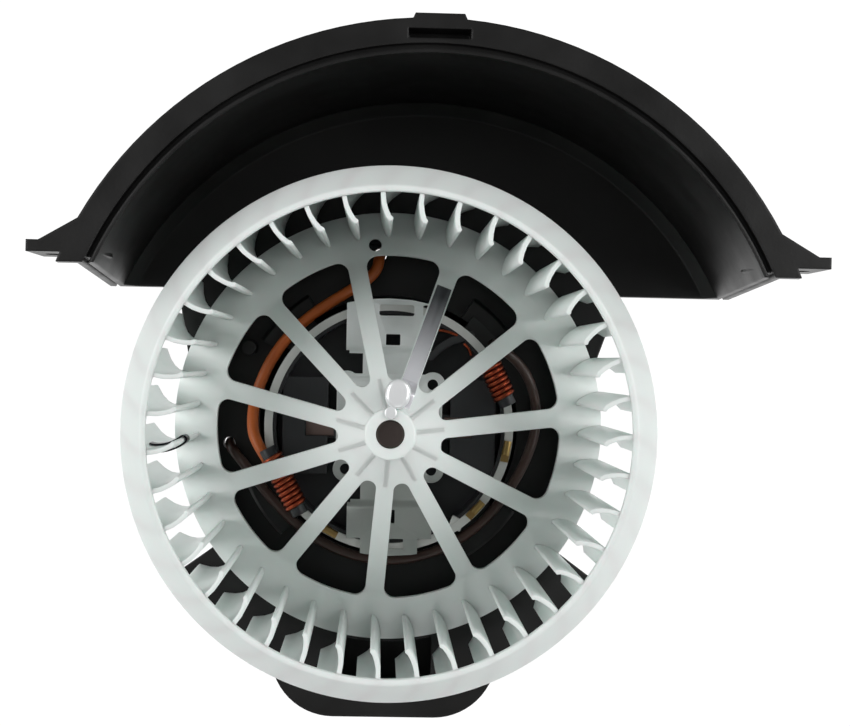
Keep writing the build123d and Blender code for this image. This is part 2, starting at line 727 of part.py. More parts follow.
def bearing_plate():
    """Pressed steel bridge: two wings on the can's rim, stepped down to a centre plate with the bush cup."""
    low = CENTRE_PLATE_Z
    high = low + PLATE_WALL
    holes = [(x, y) for x in (-CENTRE_HOLE_AT, CENTRE_HOLE_AT) for y in (-CENTRE_HOLE_AT, CENTRE_HOLE_AT)]
    centre = Rectangle(2 * CENTRE_HALF, 2 * CENTRE_HALF)
    for x, y in holes:
        centre = centre + Pos(x, y) * Circle(CENTRE_LUG_R)
    plate = Pos(0, 0, low) * extrude(centre, amount=PLATE_WALL)
    arm = block((-ARM_HALF_X, CENTRE_HALF - 1, low), (ARM_HALF_X, PLATE_INNER_Y + 0.2, high))
    riser = block((PLATE_CENTRE_X - PLATE_HALF_X + 1, PLATE_INNER_Y - PLATE_WALL, low),
                  (PLATE_CENTRE_X + PLATE_HALF_X - 1, PLATE_INNER_Y + 0.2, CAN_FRONT_Z + PLATE_WALL))
    half_bridge = arm + riser
    plate = plate + half_bridge + plate_wing(True)
    plate = plate + Rot(0, 0, 180) * (half_bridge + plate_wing(False))
    for x, y in holes:
        plate = plate - Pos(x, y, low) * Cylinder(CENTRE_HOLE_R, 4 * PLATE_WALL)
    cup_r = BUSH_R + SEAT_FIT
    cup_top = FRONT_BUSH_Z + BUSH_LENGTH + SEAT_FIT
    plate = plate - disc(cup_r + 0.5, low - 1, high + 1)
    cup = turned([
        (cup_r, low),
        (cup_r + BUSH_CUP_WALL, low),
        (cup_r + BUSH_CUP_WALL, cup_top + BUSH_CUP_WALL - 1.0),
        (cup_r + BUSH_CUP_WALL - 1.0, cup_top + BUSH_CUP_WALL),
        (SHAFT_R + 1.0, cup_top + BUSH_CUP_WALL),
        (SHAFT_R + 1.0, cup_top),
        (cup_r, cup_top),
    ])
    return plate + cup


def choke_place(turn):
    """Place of a choke: its axis lies across the radius, just above the can's rim."""
    height = CAN_FRONT_Z + CHOKE_R + CHOKE_SEAT_GAP
    return Rot(0, 0, -turn) * Pos(0, CHOKE_AT_R, height) * Rot(0, 90, 0)


def choke_coils():
    """Copper chokes, each a row of close turns round its core."""
    wire = 2 * CHOKE_WIRE_R
    turns = int(CHOKE_LENGTH / wire)
    points = [(CHOKE_CORE_R + SEAT_FIT, -CHOKE_LENGTH / 2)]
    root = CHOKE_R - CHOKE_WIRE_R
    points.append((root, -CHOKE_LENGTH / 2))
    for i in range(turns):
        start = -CHOKE_LENGTH / 2 + i * CHOKE_LENGTH / turns
        step = CHOKE_LENGTH / turns
        points.append((CHOKE_R, start + step * 0.3))
        points.append((CHOKE_R, start + step * 0.7))
        points.append((root, start + step))
    points.append((CHOKE_CORE_R + SEAT_FIT, CHOKE_LENGTH / 2))
    coil = turned(points)
    return group([choke_place(turn) * coil for turn in CHOKE_TURNS_AT])


def choke_cores():
    """Ferrite rods through the chokes."""
    half = CHOKE_CORE_LENGTH / 2
    rod = chamfer(Cylinder(CHOKE_CORE_R, 2 * half).edges().filter_by(GeomType.CIRCLE), 0.4)
    return group([choke_place(turn) * rod for turn in CHOKE_TURNS_AT])


def lobe_outline(inset):
    """Plan outline of the lower lobe, with rounded outer corners, moved inwards by inset."""
    side = LOBE_HALF_X - inset
    bottom = LOBE_BOTTOM_Y + inset
    radius = LOBE_CORNER - inset
    top = -CUP_R + 2.0 - inset
    edges = [
        Line((-side, top), (side, top)),
        Line((side, top), (side, bottom + radius)),
        CenterArc((side - radius, bottom + radius), radius, 0, -90),
        Line((side - radius, bottom), (-side + radius, bottom)),
        CenterArc((-side + radius, bottom + radius), radius, -90, -90),
        Line((-side, bottom + radius), (-side, top)),
    ]
    return make_face(edges)


def lead_hole(point, radius):
    """Vertical cutter where a lead passes the carrier's floor."""
    return Pos(point[0], point[1], FLOOR_TOP_Z - 5) * Cylinder(radius + LEAD_HOLE_FIT, 24)


def motor_carrier():
    """Cup for the motor with a flange under the base plate, a spigot through it and a throat for cooling air."""
    flange_top = BASE_UNDER_Z
    body = turned([
        (0, 0),
        (CUP_R + CUP_WALL, 0),
        (CUP_R + CUP_WALL, flange_top - FLANGE_WALL),
        (FLANGE_R, flange_top - FLANGE_WALL),
        (FLANGE_R, flange_top),
        (SPIGOT_R, flange_top),
        (SPIGOT_R, FLOOR_TOP_Z),
        (TOWER_R, FLOOR_TOP_Z),
        (TOWER_R, TOWER_TOP_Z - TOWER_BEVEL),
        (TOWER_R - TOWER_BEVEL, TOWER_TOP_Z),
        (CUP_R, TOWER_TOP_Z),
        (CUP_R, CUP_FLOOR),
        (CUP_RECESS_R, CUP_FLOOR),
        (CUP_RECESS_R, CUP_FLOOR - CUP_RECESS_DEPTH),
        (0, CUP_FLOOR - CUP_RECESS_DEPTH),
    ])
    for here, after in zip(TOWERS_AT, (*TOWERS_AT[1:], TOWERS_AT[0] + 360.0)):
        gap = [
            (CUP_R - 1, FLOOR_TOP_Z),
            (TOWER_R + 1, FLOOR_TOP_Z),
            (TOWER_R + 1, TOWER_TOP_Z + 1),
            (CUP_R - 1, TOWER_TOP_Z + 1),
        ]
        body = body - turned(gap, after - here - TOWER_ARC, (here + after) / 2)
    rib = upright([
        (CUP_R + REAR_RIB_LAP, REAR_RIB_LOW_Z),
        (CUP_R + CUP_WALL + REAR_RIB_LAP, REAR_RIB_LOW_Z),
        (FLANGE_R - REAR_RIB_SHORT, flange_top - FLANGE_WALL / 2),
        (CUP_R + REAR_RIB_LAP, flange_top - FLANGE_WALL / 2),
    ], REAR_RIB_WALL)
    body = body.fuse(*[spun(rib, turn) for turn in REAR_RIBS_AT])
    throat = block((-DUCT_THROAT_HALF_X, -CUP_R - 2 * CUP_WALL, DUCT_FLOOR_Z + DUCT_WALL),
                   (DUCT_THROAT_HALF_X, -CAN_R, DUCT_THROAT_TOP_Z))
    body = body - throat
    peg_x, peg_y = polar(PEG_AT_R, PEG_TURN)
    peg_height = PEG_TOP_Z - FLOOR_TOP_Z + 1
    peg = Pos(peg_x, peg_y, FLOOR_TOP_Z - 1 + peg_height / 2) * Cylinder(PEG_R, peg_height)
    body = body.fuse(peg)
    for turn in SCREWS_AT:
        x, y = polar(SCREW_AT_R, turn)
        body = body - Pos(x, y, flange_top - FLANGE_WALL / 2) * Cylinder(SCREW_R + SCREW_HOLE_FIT, 2 * FLANGE_WALL)
    body = body - lead_hole(SUPPLY_ROUTE[3], SUPPLY_R) - lead_hole(RETURN_ROUTE[-5], RETURN_R)
    return body


def cooling_duct():
    """Tray under the lobe that leads cooling air from the inlet to the cup's throat."""
    top = BASE_UNDER_Z
    height = top - DUCT_FLOOR_Z
    shell = Pos(0, 0, DUCT_FLOOR_Z) * extrude(lobe_outline(0), amount=height)
    hollow = Pos(0, 0, DUCT_FLOOR_Z + DUCT_WALL) * extrude(lobe_outline(DUCT_WALL), amount=height)
    cup = disc(CUP_R + CUP_WALL + DUCT_FIT, 0, top)
    flange = disc(FLANGE_R + DUCT_FIT, top - FLANGE_WALL, top)
    return shell - hollow - cup - flange


def isolators():
    """Rubber pads that hold the can in the carrier's towers, each with a lip over its tower."""
    inner = CAN_R + SEAT_FIT
    outer = CUP_R - SEAT_FIT
    lip_low = TOWER_TOP_Z + SEAT_FIT
    outline = [
        (inner, ISOLATOR_BOTTOM_Z),
        (inner, lip_low + ISOLATOR_LIP),
        (ISOLATOR_LIP_R, lip_low + ISOLATOR_LIP),
        (ISOLATOR_LIP_R, lip_low),
        (outer, lip_low),
        (outer, ISOLATOR_BOTTOM_Z),
    ]
    return group([turned(outline, ISOLATOR_ARC, turn) for turn in TOWERS_AT])


def rear_isolator():
    """Rubber ring between the carrier's floor and the can's rear face."""
    return ring(REAR_RING_OUTER_R, REAR_RING_INNER_R, CUP_FLOOR, CAN_REAR_Z)


def carrier_screws():
    """Screws from the rear through the carrier's flange into the base plate."""
    under = BASE_UNDER_Z - FLANGE_WALL
    head = disc(SCREW_HEAD_R, under - SCREW_HEAD_HEIGHT, under)
    screw = head + disc(SCREW_R, under - 0.5, under + SCREW_TIP)
    screws = []
    for turn in SCREWS_AT:
        x, y = polar(SCREW_AT_R, turn)
        screws.append(Pos(x, y, 0) * screw)
    return group(screws)


def scroll_circle(height, extra):
    """Inside of the scroll wall at a height, wider all round by extra."""
    share = (height - BASE_UNDER_Z) / (RIM_Z - BASE_UNDER_Z)
    x = FOOT_X + (RIM_X - FOOT_X) * share
    y = FOOT_Y + (RIM_Y - FOOT_Y) * share
    radius = FOOT_R + (RIM_INNER_R - FOOT_R) * share
    return Pos(x, y, height) * Circle(radius + extra)


def scroll_tub(extra):
    """Leaning cone between the scroll's foot arc and its rim arc, wider all round by extra."""
    return loft([scroll_circle(BASE_UNDER_Z, extra), scroll_circle(RIM_Z, extra)], ruled=True)


def foot_cove():
    """Sloped strip along the floor at the foot of the wall."""
    top = FLOOR_TOP_Z + FOOT_COVE
    reach = 2 * FOOT_R
    layer = block((-reach, 0, FLOOR_TOP_Z), (reach, reach, top))
    hollow = loft([scroll_circle(FLOOR_TOP_Z, -FOOT_COVE), scroll_circle(top, 0)], ruled=True)
    return (scroll_tub(SCROLL_WALL / 2) & layer & upper_half()) - hollow


def split_line(height):
    """Y of the leaning split plane at a height."""
    return SPLIT_Y + (SPLIT_RIM_Y - SPLIT_Y) * (height - BASE_UNDER_Z) / (RIM_Z - BASE_UNDER_Z)


def upper_half(shift=0.0):
    """Everything on the crown's side of the split plane, moved towards the crown by shift."""
    reach = 2 * FOOT_R
    top = 2 * RIM_Z
    return upright([
        (split_line(0) + shift, 0),
        (reach, 0),
        (reach, top),
        (split_line(top) + shift, top),
    ], 2 * reach)


def rim_ring(outer, inner, bottom, top):
    """Ring about the rim arc's centre."""
    return Pos(RIM_X, RIM_Y, 0) * ring(outer, inner, bottom, top)


def ear(side):
    """Fixing ear beside the rim, with a screw hole along Y and a gusset at each face."""
    def across(out):
        """X of a point that far outside the rim's edge."""
        return RIM_X + side * (EAR_ROOT_X + out)

    tip = across(EAR_LENGTH)
    root = across(-EAR_ROOT_LAP)
    gusset_foot = across(EAR_GUSSET_FOOT)
    low_z = RIM_Z - EAR_DEPTH
    plate = block((min(tip, root), EAR_Y, low_z), (max(tip, root), EAR_Y + EAR_WALL, RIM_Z))
    gusset_top = EAR_Y + EAR_GUSSET_RISE
    flange_x = math.sqrt(RIM_FLANGE_R ** 2 - (gusset_top - RIM_Y) ** 2)
    outline = [
        (root, EAR_Y + EAR_WALL / 2),
        (gusset_foot, EAR_Y + EAR_WALL / 2),
        (gusset_foot, EAR_Y + EAR_WALL),
        (RIM_X + side * flange_x, gusset_top),
        (RIM_X + side * (flange_x - EAR_GUSSET_LAP), gusset_top),
    ]
    top_gusset = slab(outline, RIM_Z - EAR_GUSSET_WALL, RIM_Z)
    low_gusset = slab(outline, low_z, low_z + EAR_GUSSET_WALL)
    hole = Rot(90, 0, 0) * Cylinder(EAR_HOLE_R, 4 * EAR_WALL)
    return plate.fuse(top_gusset, low_gusset) - Pos(across(EAR_HOLE_OUT), EAR_Y, RIM_Z - EAR_DEPTH / 2) * hole


def latch_eye():
    """Outer bar of the latch eye at the crown."""
    low_y = LATCH_SLOT_Y - 1
    left = LATCH_X - LATCH_HALF_X
    right = LATCH_X + LATCH_HALF_X
    ramp_y = LATCH_SLOT_Y + LATCH_SLOT_WIDTH
    outline = [
        (left - 4 * LATCH_RAMP, low_y),
        (right + 4 * LATCH_RAMP, low_y),
        (right + LATCH_RAMP, ramp_y),
        (right, LATCH_TOP_Y),
        (left, LATCH_TOP_Y),
        (left - LATCH_RAMP, ramp_y),
    ]
    return slab(outline, RIM_Z - LATCH_DEPTH, RIM_Z)


def base_plate():
    """Base plate under the fan: shoulders, waist, lower sector and lobe, with the cooling inlet."""
    low, high = BASE_UNDER_Z, FLOOR_TOP_Z
    plate = disc(BASE_R, low, high)
    plate = plate + slab([
        (BASE_SHOULDER_LEFT_X, SPLIT_Y + 2),
        (BASE_WAIST_LEFT_X, BASE_WAIST_Y),
        (BASE_WAIST_RIGHT_X, BASE_WAIST_Y),
        (BASE_SHOULDER_RIGHT_X, SPLIT_Y + 2),
    ], low, high)
    sector_corner = polar(2 * SECTOR_R, 180.0 - SECTOR_HALF_ARC)
    wedge = slab([(0, 0), sector_corner, (sector_corner[0], -3 * SECTOR_R),
                  (-sector_corner[0], -3 * SECTOR_R), (-sector_corner[0], sector_corner[1])], low, high)
    plate = plate + (disc(SECTOR_R, low, high) & wedge)
    plate = plate + Pos(0, 0, low) * extrude(lobe_outline(0), amount=high - low)
    inlet = block((-INLET_HALF_X, INLET_OUTER_Y, low - 1), (INLET_HALF_X, 0, high + 1))
    return plate - (inlet - disc(INLET_INNER_R, low - 2, high + 2))


def scroll_housing():
    """Half scroll, floor, base plate, ears and latch eye in one moulding."""
    outer = scroll_tub(SCROLL_WALL)
    inner = scroll_tub(0)
    upper = upper_half()
    reach = 2 * FOOT_R
    floor = outer & upper & block((-reach, 0, BASE_UNDER_Z), (reach, reach, FLOOR_TOP_Z))
    wall = (outer - inner) & upper
    flange = rim_ring(RIM_FLANGE_R, RIM_INNER_R, RIM_Z - RIM_FLANGE_WALL, RIM_Z) & upper
    strip = (scroll_tub(2 * SPLIT_LIP + SPLIT_GROOVE) - inner) & (upper - upper_half(SPLIT_WALL))
    body = wall.fuse(floor, foot_cove(), flange, strip, base_plate(), latch_eye(), ear(-1.0), ear(1.0))
    body = body - disc(SPIGOT_R + SPIGOT_FIT, BASE_UNDER_Z - 1, FLOOR_TOP_Z + 1)
    groove_inner = RIM_INNER_R + RIM_LIP
    groove = rim_ring(groove_inner + RIM_GROOVE, groove_inner, RIM_Z - RIM_GROOVE_DEPTH, RIM_Z + 1)
    body = body - (groove & upper)
    end_groove = scroll_tub(SPLIT_LIP + SPLIT_GROOVE) - scroll_tub(SPLIT_LIP)
    body = body - (end_groove & (upper - upper_half(SPLIT_GROOVE_DEPTH)))
    slot = block((LATCH_X - LATCH_SLOT_HALF_X, LATCH_SLOT_Y, RIM_Z - LATCH_DEPTH + LATCH_FLOOR),
                 (LATCH_X + LATCH_SLOT_HALF_X, LATCH_SLOT_Y + LATCH_SLOT_WIDTH, RIM_Z + 1))
    body = body - slot
    for turn in SCREWS_AT:
        x, y = polar(SCREW_AT_R, turn)
        depth = SCREW_TIP - FLANGE_WALL + SEAT_FIT
        pilot = Cylinder(SCREW_R + SEAT_FIT, 2 * depth)
        body = body - Pos(x, y, BASE_UNDER_Z) * pilot
    return body


def socket_frame():
    """Place of the plug socket: its own X runs across the radius and Y outwards."""
    return Rot(0, 0, -SOCKET_TURN) * Pos(0, SOCKET_INNER_R, 0)


def plug_socket():
    """Two-way plug socket under the flange, open to the rear, hung from a back wall against the cup."""
    half = SOCKET_HALF_WIDTH
    top = BASE_UNDER_Z - FLANGE_WALL
    shell = block((-half, 0, SOCKET_REAR_Z), (half, SOCKET_DEPTH, SOCKET_TOP_Z))
    hollow = block((-half + SOCKET_WALL, SOCKET_WALL, SOCKET_REAR_Z - 1),
                   (half - SOCKET_WALL, SOCKET_DEPTH - SOCKET_WALL, SOCKET_TOP_Z - SOCKET_DECK))
    back = block((-half, 0, SOCKET_TOP_Z - 1), (half, SOCKET_WALL, top))
    shell = shell - hollow + back
    for side in (-1, 1):
        shell = shell - socket_pin(side, 0, SOCKET_TOP_Z - 2 * SOCKET_DECK, SOCKET_TOP_Z + SOCKET_DECK)
    return socket_frame() * shell


def socket_pin(side, fit, low, high):
    """Flat blade pin in the socket's own place, smaller all round by fit."""
    x = side * PIN_OFFSET
    half_width = PIN_WIDTH / 2 - fit
    half_wall = PIN_WALL / 2 - fit
    middle = SOCKET_DEPTH / 2
    return block((x - half_width, middle - half_wall, low), (x + half_width, middle + half_wall, high))


def socket_pins():
    """Flat blade pins of the socket."""
    return group([socket_frame() * socket_pin(side, PIN_FIT, PIN_REAR_Z, SOCKET_TOP_Z) for side in (-1, 1)])


def socket_point(side, height):
    """Point above one of the socket's pins."""
    place = socket_frame() * Pos(side * PIN_OFFSET, SOCKET_DEPTH / 2, height)
    return tuple(place.position)


def route_point(radius, turn, height):
    """Point of a lead's route at a radius, a turn and a height."""
    x, y = polar(radius, turn)
    return (x, y, height)


SUPPLY_ROUTE = [
    socket_point(1, SOCKET_TOP_Z + 0.05),
    socket_point(1, LEAD_LOW_Z - 1.5),
    route_point(52.5, 337.0, LEAD_LOW_Z),
    route_point(54.4, 356.0, LEAD_LOW_Z + 1.0),
    route_point(54.4, 356.0, FLOOR_TOP_Z + 4.2),
    route_point(47.6, 354.0, LEAD_HIGH_Z - 3.0),
    route_point(43.4, 338.0, LEAD_HIGH_Z + 0.3),
    route_point(42.6, 319.0, LEAD_HIGH_Z + 0.5),
    route_point(42.6, 300.0, LEAD_HIGH_Z + 0.3),
    route_point(42.8, 282.0, LEAD_HIGH_Z + 1.2),
    route_point(42.4, 270.0, LEAD_HIGH_Z + 5.0),
    route_point(40.6, 262.6, LEAD_HIGH_Z + 8.6),
]

RETURN_ROUTE = [
    route_point(40.6, 49.0, LEAD_HIGH_Z + 8.6),
    route_point(44.2, 58.0, LEAD_HIGH_Z + 5.4),
    route_point(46.8, 71.0, LEAD_HIGH_Z + 1.4),
    route_point(47.0, 87.0, LEAD_HIGH_Z - 0.6),
    route_point(44.6, 103.0, LEAD_HIGH_Z - 0.2),
    route_point(42.6, 119.0, LEAD_HIGH_Z + 0.1),
    route_point(42.4, 137.0, LEAD_HIGH_Z + 0.2),
    route_point(42.4, 157.0, LEAD_HIGH_Z - 0.2),
    route_point(42.6, 177.0, LEAD_HIGH_Z - 0.4),
    route_point(42.4, 197.0, LEAD_HIGH_Z - 0.2),
    route_point(42.4, 217.0, LEAD_HIGH_Z + 0.1),
    route_point(43.0, 236.0, LEAD_HIGH_Z + 0.1),
    route_point(46.0, 252.0, LEAD_HIGH_Z - 1.0),
    route_point(51.0, 262.5, FLOOR_TOP_Z + 4.4),
    route_point(51.0, 262.5, LEAD_LOW_Z + 1.0),
    route_point(52.0, 279.0, LEAD_LOW_Z),
    socket_point(-1, LEAD_LOW_Z - 1.5),
    socket_point(-1, SOCKET_TOP_Z + 0.05),
]


def lead(route, radius, name):
    """Round lead along a route of straight runs joined by tangent arcs."""
    points = [Vector(*point) for point in route]
    radii = []
    for before, here, after in zip(points, points[1:], points[2:]):
        turn = (here - before).get_angle(after - here)
        shorter = min((here - before).length, (after - here).length)
        radii.append(0.45 * shorter / math.tan(math.radians(turn) / 2))
    path = FilletPolyline(*points, radius=radii)
    section = Plane(origin=path @ 0, z_dir=path % 0) * Circle(radius)
    tube = sweep(section, path=path)
    length = path.length
    share = tube.volume / (math.pi * radius ** 2 * length)
    print(name, "length", round(length, 1), "volume share", round(share, 4))
    print(name, "radii", [round(r, 1) for r in radii])
    return tube


def crimp_terminals():
    """Small brass crimps lying on the can's lip, each a rolled barrel on a flat tongue."""
    height = CAN_FRONT_Z + CRIMP_R + SEAT_FIT
    barrel = Rot(0, 90, 0) * Cylinder(CRIMP_R, CRIMP_LENGTH)
    tongue = block((0, -CRIMP_R, -CRIMP_R), (CRIMP_LENGTH, CRIMP_R, CRIMP_WALL - CRIMP_R))
    return group([Rot(0, 0, -turn) * Pos(0, CRIMP_AT_R, height) * (barrel + tongue) for turn in CRIMPS_AT])


def spoke_clip():
    """Bent spring strip on one spoke: a foot on the hub rim, a raised loop and a flat tail down the cone."""
    half = CLIP_WALL / 2 + CLIP_SEAT_GAP
    offset = half * math.sqrt(2)
    tail_in = RIB_REACH_R + 1.2
    points = [
        (SHAFT_R + 0.6, HUB_TOP_Z + half),
        (HUB_R - 1.2, HUB_TOP_Z + half),
        (HUB_R + 0.6, HUB_TOP_Z + half + 1.8),
        (CLIP_LOOP_R - 0.6, HUB_TOP_Z + half + 1.9),
        (CLIP_LOOP_R + 2.2, HUB_TOP_Z - 1.6),
        (tail_in, cone_top(tail_in) + offset + 0.9),
        (tail_in + 3.0, cone_top(tail_in + 3.0) + offset),
        (CLIP_OUTER_R, cone_top(CLIP_OUTER_R) + offset),
    ]
    path = FilletPolyline(*[(0, r, z) for r, z in points], radius=[0.6, 0.8, 1.4, 2.4, 2.0, 3.0])
    section = Plane(origin=path @ 0, x_dir=(1, 0, 0), z_dir=path % 0) * Rectangle(CLIP_WIDTH, CLIP_WALL)
    strip = sweep(section, path=path)
    return spun(strip, SPOKE_TURN)


def balance_clip():
    """U-shaped spring steel clip pushed over the inner edge of one blade."""
    half = BLADE_WALL / 2 + BALANCE_GAP + BALANCE_WALL / 2
    curve = blade_curve()
    leg_start = 1 - BALANCE_LEG / curve.length
    legs = []
    for side in (half, -half):
        points = []
        for step in range(BALANCE_STEPS + 1):
            share = leg_start + (1 - leg_start) * step / BALANCE_STEPS
            along = curve % share
            points.append((curve @ share) + Vector(-along.Y, along.X) * side)
        legs.append(points)
    nose = (curve @ 1) + (curve % 1) * half
    edges = [Spline(*points) for points in legs]
    strip = trace([*edges, ThreePointArc(legs[0][-1], nose, legs[1][-1])], BALANCE_WALL)
    clip = Pos(0, 0, BALANCE_TOP_Z - BALANCE_DEPTH) * extrude(strip, amount=BALANCE_DEPTH)
    return spun(clip, BLADE_TURN + BALANCE_BLADE * 360.0 / BLADES)


def mirrored(shape):
    """The right-hand brush piece on the left."""
    return Rot(0, 0, 180) * shape


def main():
    """Builds every node and writes one file for each."""
    os.makedirs("parts", exist_ok=True)
    parts = {
        "scroll_housing": scroll_housing(),
        "motor_carrier": motor_carrier(),
        "cooling_duct": cooling_duct(),
        "motor_can": motor_can(),
        "magnets": magnets(),
        "brush_plate": brush_plate(),
        "brush_holders": group([brush_holder(), mirrored(brush_holder())]),
        "brush_right": brush(),
        "brush_left": mirrored(brush()),
        "brush_spring_right": brush_spring(),
        "brush_spring_left": mirrored(brush_spring()),
        "bearing_plate": bearing_plate(),
        "front_bush": bush(FRONT_BUSH_Z),
        "rear_bush": bush(REAR_BUSH_Z),
        "front_retainer": retainer(CENTRE_PLATE_Z - RETAINER_WALL),
        "rear_retainer": retainer(CAN_REAR_Z + CAN_WALL),
        "choke_coils": choke_coils(),
        "choke_cores": choke_cores(),
        "supply_lead": lead(SUPPLY_ROUTE, SUPPLY_R, "supply_lead"),
        "return_lead": lead(RETURN_ROUTE, RETURN_R, "return_lead"),
        "crimp_terminals": crimp_terminals(),
        "isolators": isolators(),
        "rear_isolator": rear_isolator(),
        "carrier_screws": carrier_screws(),
        "plug_socket": plug_socket(),
        "socket_pins": socket_pins(),
        "fan_wheel": fan_wheel(),
        "shaft": shaft(),
        "armature_core": armature_core(),
        "armature_winding": armature_winding(),
        "commutator": commutator(),
        "thrust_washers": thrust_washers(),
        "spoke_clip": spoke_clip(),
        "balance_clip": balance_clip(),
    }
    for name, shape in parts.items():
        export_step(shape, f"parts/{name}.step")


if __name__ == "__main__":
    main()
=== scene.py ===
"""Looks of a car cabin blower: a pale squirrel-cage fan on a motor, in half of its black scroll housing.

Sizes are in metres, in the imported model's frame: the origin is on the shaft axis at the carrier's flat rear
face, +Z runs along the shaft to the air intake and +Y points at the crown of the scroll.
Angles named turn are in degrees, clockwise from +Y as seen from the intake.
"""

import logging
import math
from abc import ABC, abstractmethod
from collections.abc import Callable, Iterator, Sequence
from contextlib import contextmanager
from dataclasses import dataclass
from enum import Enum

import bmesh
import bpy
from mathutils import Matrix, Vector


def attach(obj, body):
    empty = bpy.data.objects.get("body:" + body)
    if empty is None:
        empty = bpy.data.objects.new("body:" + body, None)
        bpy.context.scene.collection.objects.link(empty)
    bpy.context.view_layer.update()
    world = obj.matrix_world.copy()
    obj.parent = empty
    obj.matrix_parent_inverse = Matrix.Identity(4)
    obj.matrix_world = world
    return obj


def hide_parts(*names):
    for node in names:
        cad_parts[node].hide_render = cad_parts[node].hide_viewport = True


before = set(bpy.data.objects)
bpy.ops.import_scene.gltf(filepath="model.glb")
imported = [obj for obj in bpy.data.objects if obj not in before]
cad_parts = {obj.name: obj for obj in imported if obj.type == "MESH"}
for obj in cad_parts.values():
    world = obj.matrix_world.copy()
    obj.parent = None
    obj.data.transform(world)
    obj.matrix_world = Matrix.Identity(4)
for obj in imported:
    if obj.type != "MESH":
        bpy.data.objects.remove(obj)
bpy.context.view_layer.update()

SEED_SIZE = 0.001
SAME_PLACE = 1e-7
WELD_GAP = 1e-6
SHARP_ANGLE = 32.0
SHADE_ANGLE = 38.0
BEND_STEPS = 5
EDGE_WIDTH = 0.0003
EDGE_SAMPLES = 4
LEAD_ORDER = 3
LEAD_RUNS = 10
LEAD_ROUNDNESS = 5
WHITE = (1.0, 1.0, 1.0, 1.0)
log = logging.getLogger("blower")

Point = tuple[float, float, float]
Pair = tuple[float, float]


class Body(Enum):
    """Rigid bodies that carry pieces of the scene."""

    HOUSING = "housing"
    ROTOR = "rotor"


class Pick(Enum):
    """Kinds of mesh element that edit mode selects."""

    VERTICES = "VERT"
    EDGES = "EDGE"


class Keep(Enum):
    """What a cutter leaves of a piece."""

    REST = "DIFFERENCE"
    SHARED = "INTERSECT"


def polar(radius: float, turn: float, height: float = 0.0) -> Vector:
    """Gives the point at a radius, a clockwise turn from +Y and a height.

    Args:
        radius: Distance from the shaft axis.
        turn: Clockwise angle from +Y in degrees.
        height: Height above the rear face.

    Returns:
        The point in the model's frame.
    """
    angle = math.radians(turn)
    return Vector((radius * math.sin(angle), radius * math.cos(angle), height))


def turning(turn: float) -> Matrix:
    """Gives the matrix that turns a mesh clockwise about the shaft axis by that many degrees."""
    return Matrix.Rotation(-math.radians(turn), 4, "Z")


# Camera


@dataclass(frozen=True)
class ViewPoint:
    """Camera place and lens that repeat the photograph's view straight down the shaft."""

    eye: Point = (-0.00385, 0.02057, 0.536)
    target: Point = (0.00905, 0.02007, 0.118)
    lens: float = 64.6
    sensor: float = 36.0
    roll: float = 1.2
    nearest: float = 0.01
    farthest: float = 10.0

    def place(self) -> None:
        """Makes the camera and gives it to the scene."""
        data = bpy.data.cameras.new("intake_view")
        data.lens = self.lens
        data.sensor_width = self.sensor
        data.clip_start = self.nearest
        data.clip_end = self.farthest
        camera = bpy.data.objects.new("intake_view", data)
        bpy.context.scene.collection.objects.link(camera)
        back = (Vector(self.eye) - Vector(self.target)).normalized()
        angle = math.radians(self.roll)
        up = Vector((-math.sin(angle), math.cos(angle), 0.0))
        right = up.cross(back).normalized()
        up = back.cross(right)
        matrix = Matrix((right, up, back)).transposed().to_4x4()
        matrix.translation = Vector(self.eye)
        camera.matrix_world = matrix
        bpy.context.scene.camera = camera


# Bench tools that stand for the hand's moves


def activate(piece: bpy.types.Object) -> None:
    """Selects one object alone and makes it active.

    Args:
        piece: The object.
    """
    bpy.ops.object.select_all(action="DESELECT")
    piece.select_set(True)
    bpy.context.view_layer.objects.active = piece


@contextmanager
def editing(piece: bpy.types.Object, pick: Pick = Pick.VERTICES) -> Iterator[None]:
    """Opens a piece in edit mode with nothing selected.

    Args:
        piece: The mesh object.
        pick: What is selected there.
    """
    activate(piece)
    bpy.ops.object.mode_set(mode="EDIT")
    bpy.ops.mesh.select_mode(type=pick.value)
    bpy.ops.mesh.select_all(action="DESELECT")
    yield
    bpy.ops.object.mode_set(mode="OBJECT")


def pick_vertices(piece: bpy.types.Object, test: Callable[[Vector], bool]) -> None:
    """Selects the vertices of the piece in edit mode whose place passes a test.

    Args:
        piece: The piece in edit mode.
        test: Says of a place whether its vertex is selected.
    """
    mesh = bmesh.from_edit_mesh(piece.data)
    for vertex in mesh.verts:
        vertex.select = test(vertex.co)
    mesh.select_flush_mode()
    bmesh.update_edit_mesh(piece.data)


def draw(name: str, points: Sequence[Point], closed: bool = True) -> bpy.types.Object:
    """Draws a line of points by extruding one vertex from place to place.

    Args:
        name: Name of the new piece.
        points: Places in the model's frame.
        closed: Whether the last point is joined to the first.

    Returns:
        The new piece, a line of edges.
    """
    bpy.ops.object.select_all(action="DESELECT")
    bpy.ops.mesh.primitive_plane_add(size=SEED_SIZE)
    piece = bpy.context.object
    piece.name = name
    piece.data.name = name
    bpy.ops.object.mode_set(mode="EDIT")
    bpy.ops.mesh.select_mode(type="VERT")
    bpy.ops.mesh.merge(type="CENTER")
    here = Vector((0.0, 0.0, 0.0))
    for number, point in enumerate(points):
        step = Vector(point) - here
        here = Vector(point)
        if number == 0:
            bpy.ops.transform.translate(value=step)
        else:
            bpy.ops.mesh.extrude_vertices_move(TRANSFORM_OT_translate={"value": step})
    if closed:
        ends = (Vector(points[0]), Vector(points[-1]))
        pick_vertices(piece, lambda place: min((place - end).length for end in ends) < SAME_PLACE)
        bpy.ops.mesh.edge_face_add()
    bpy.ops.object.mode_set(mode="OBJECT")
    return piece


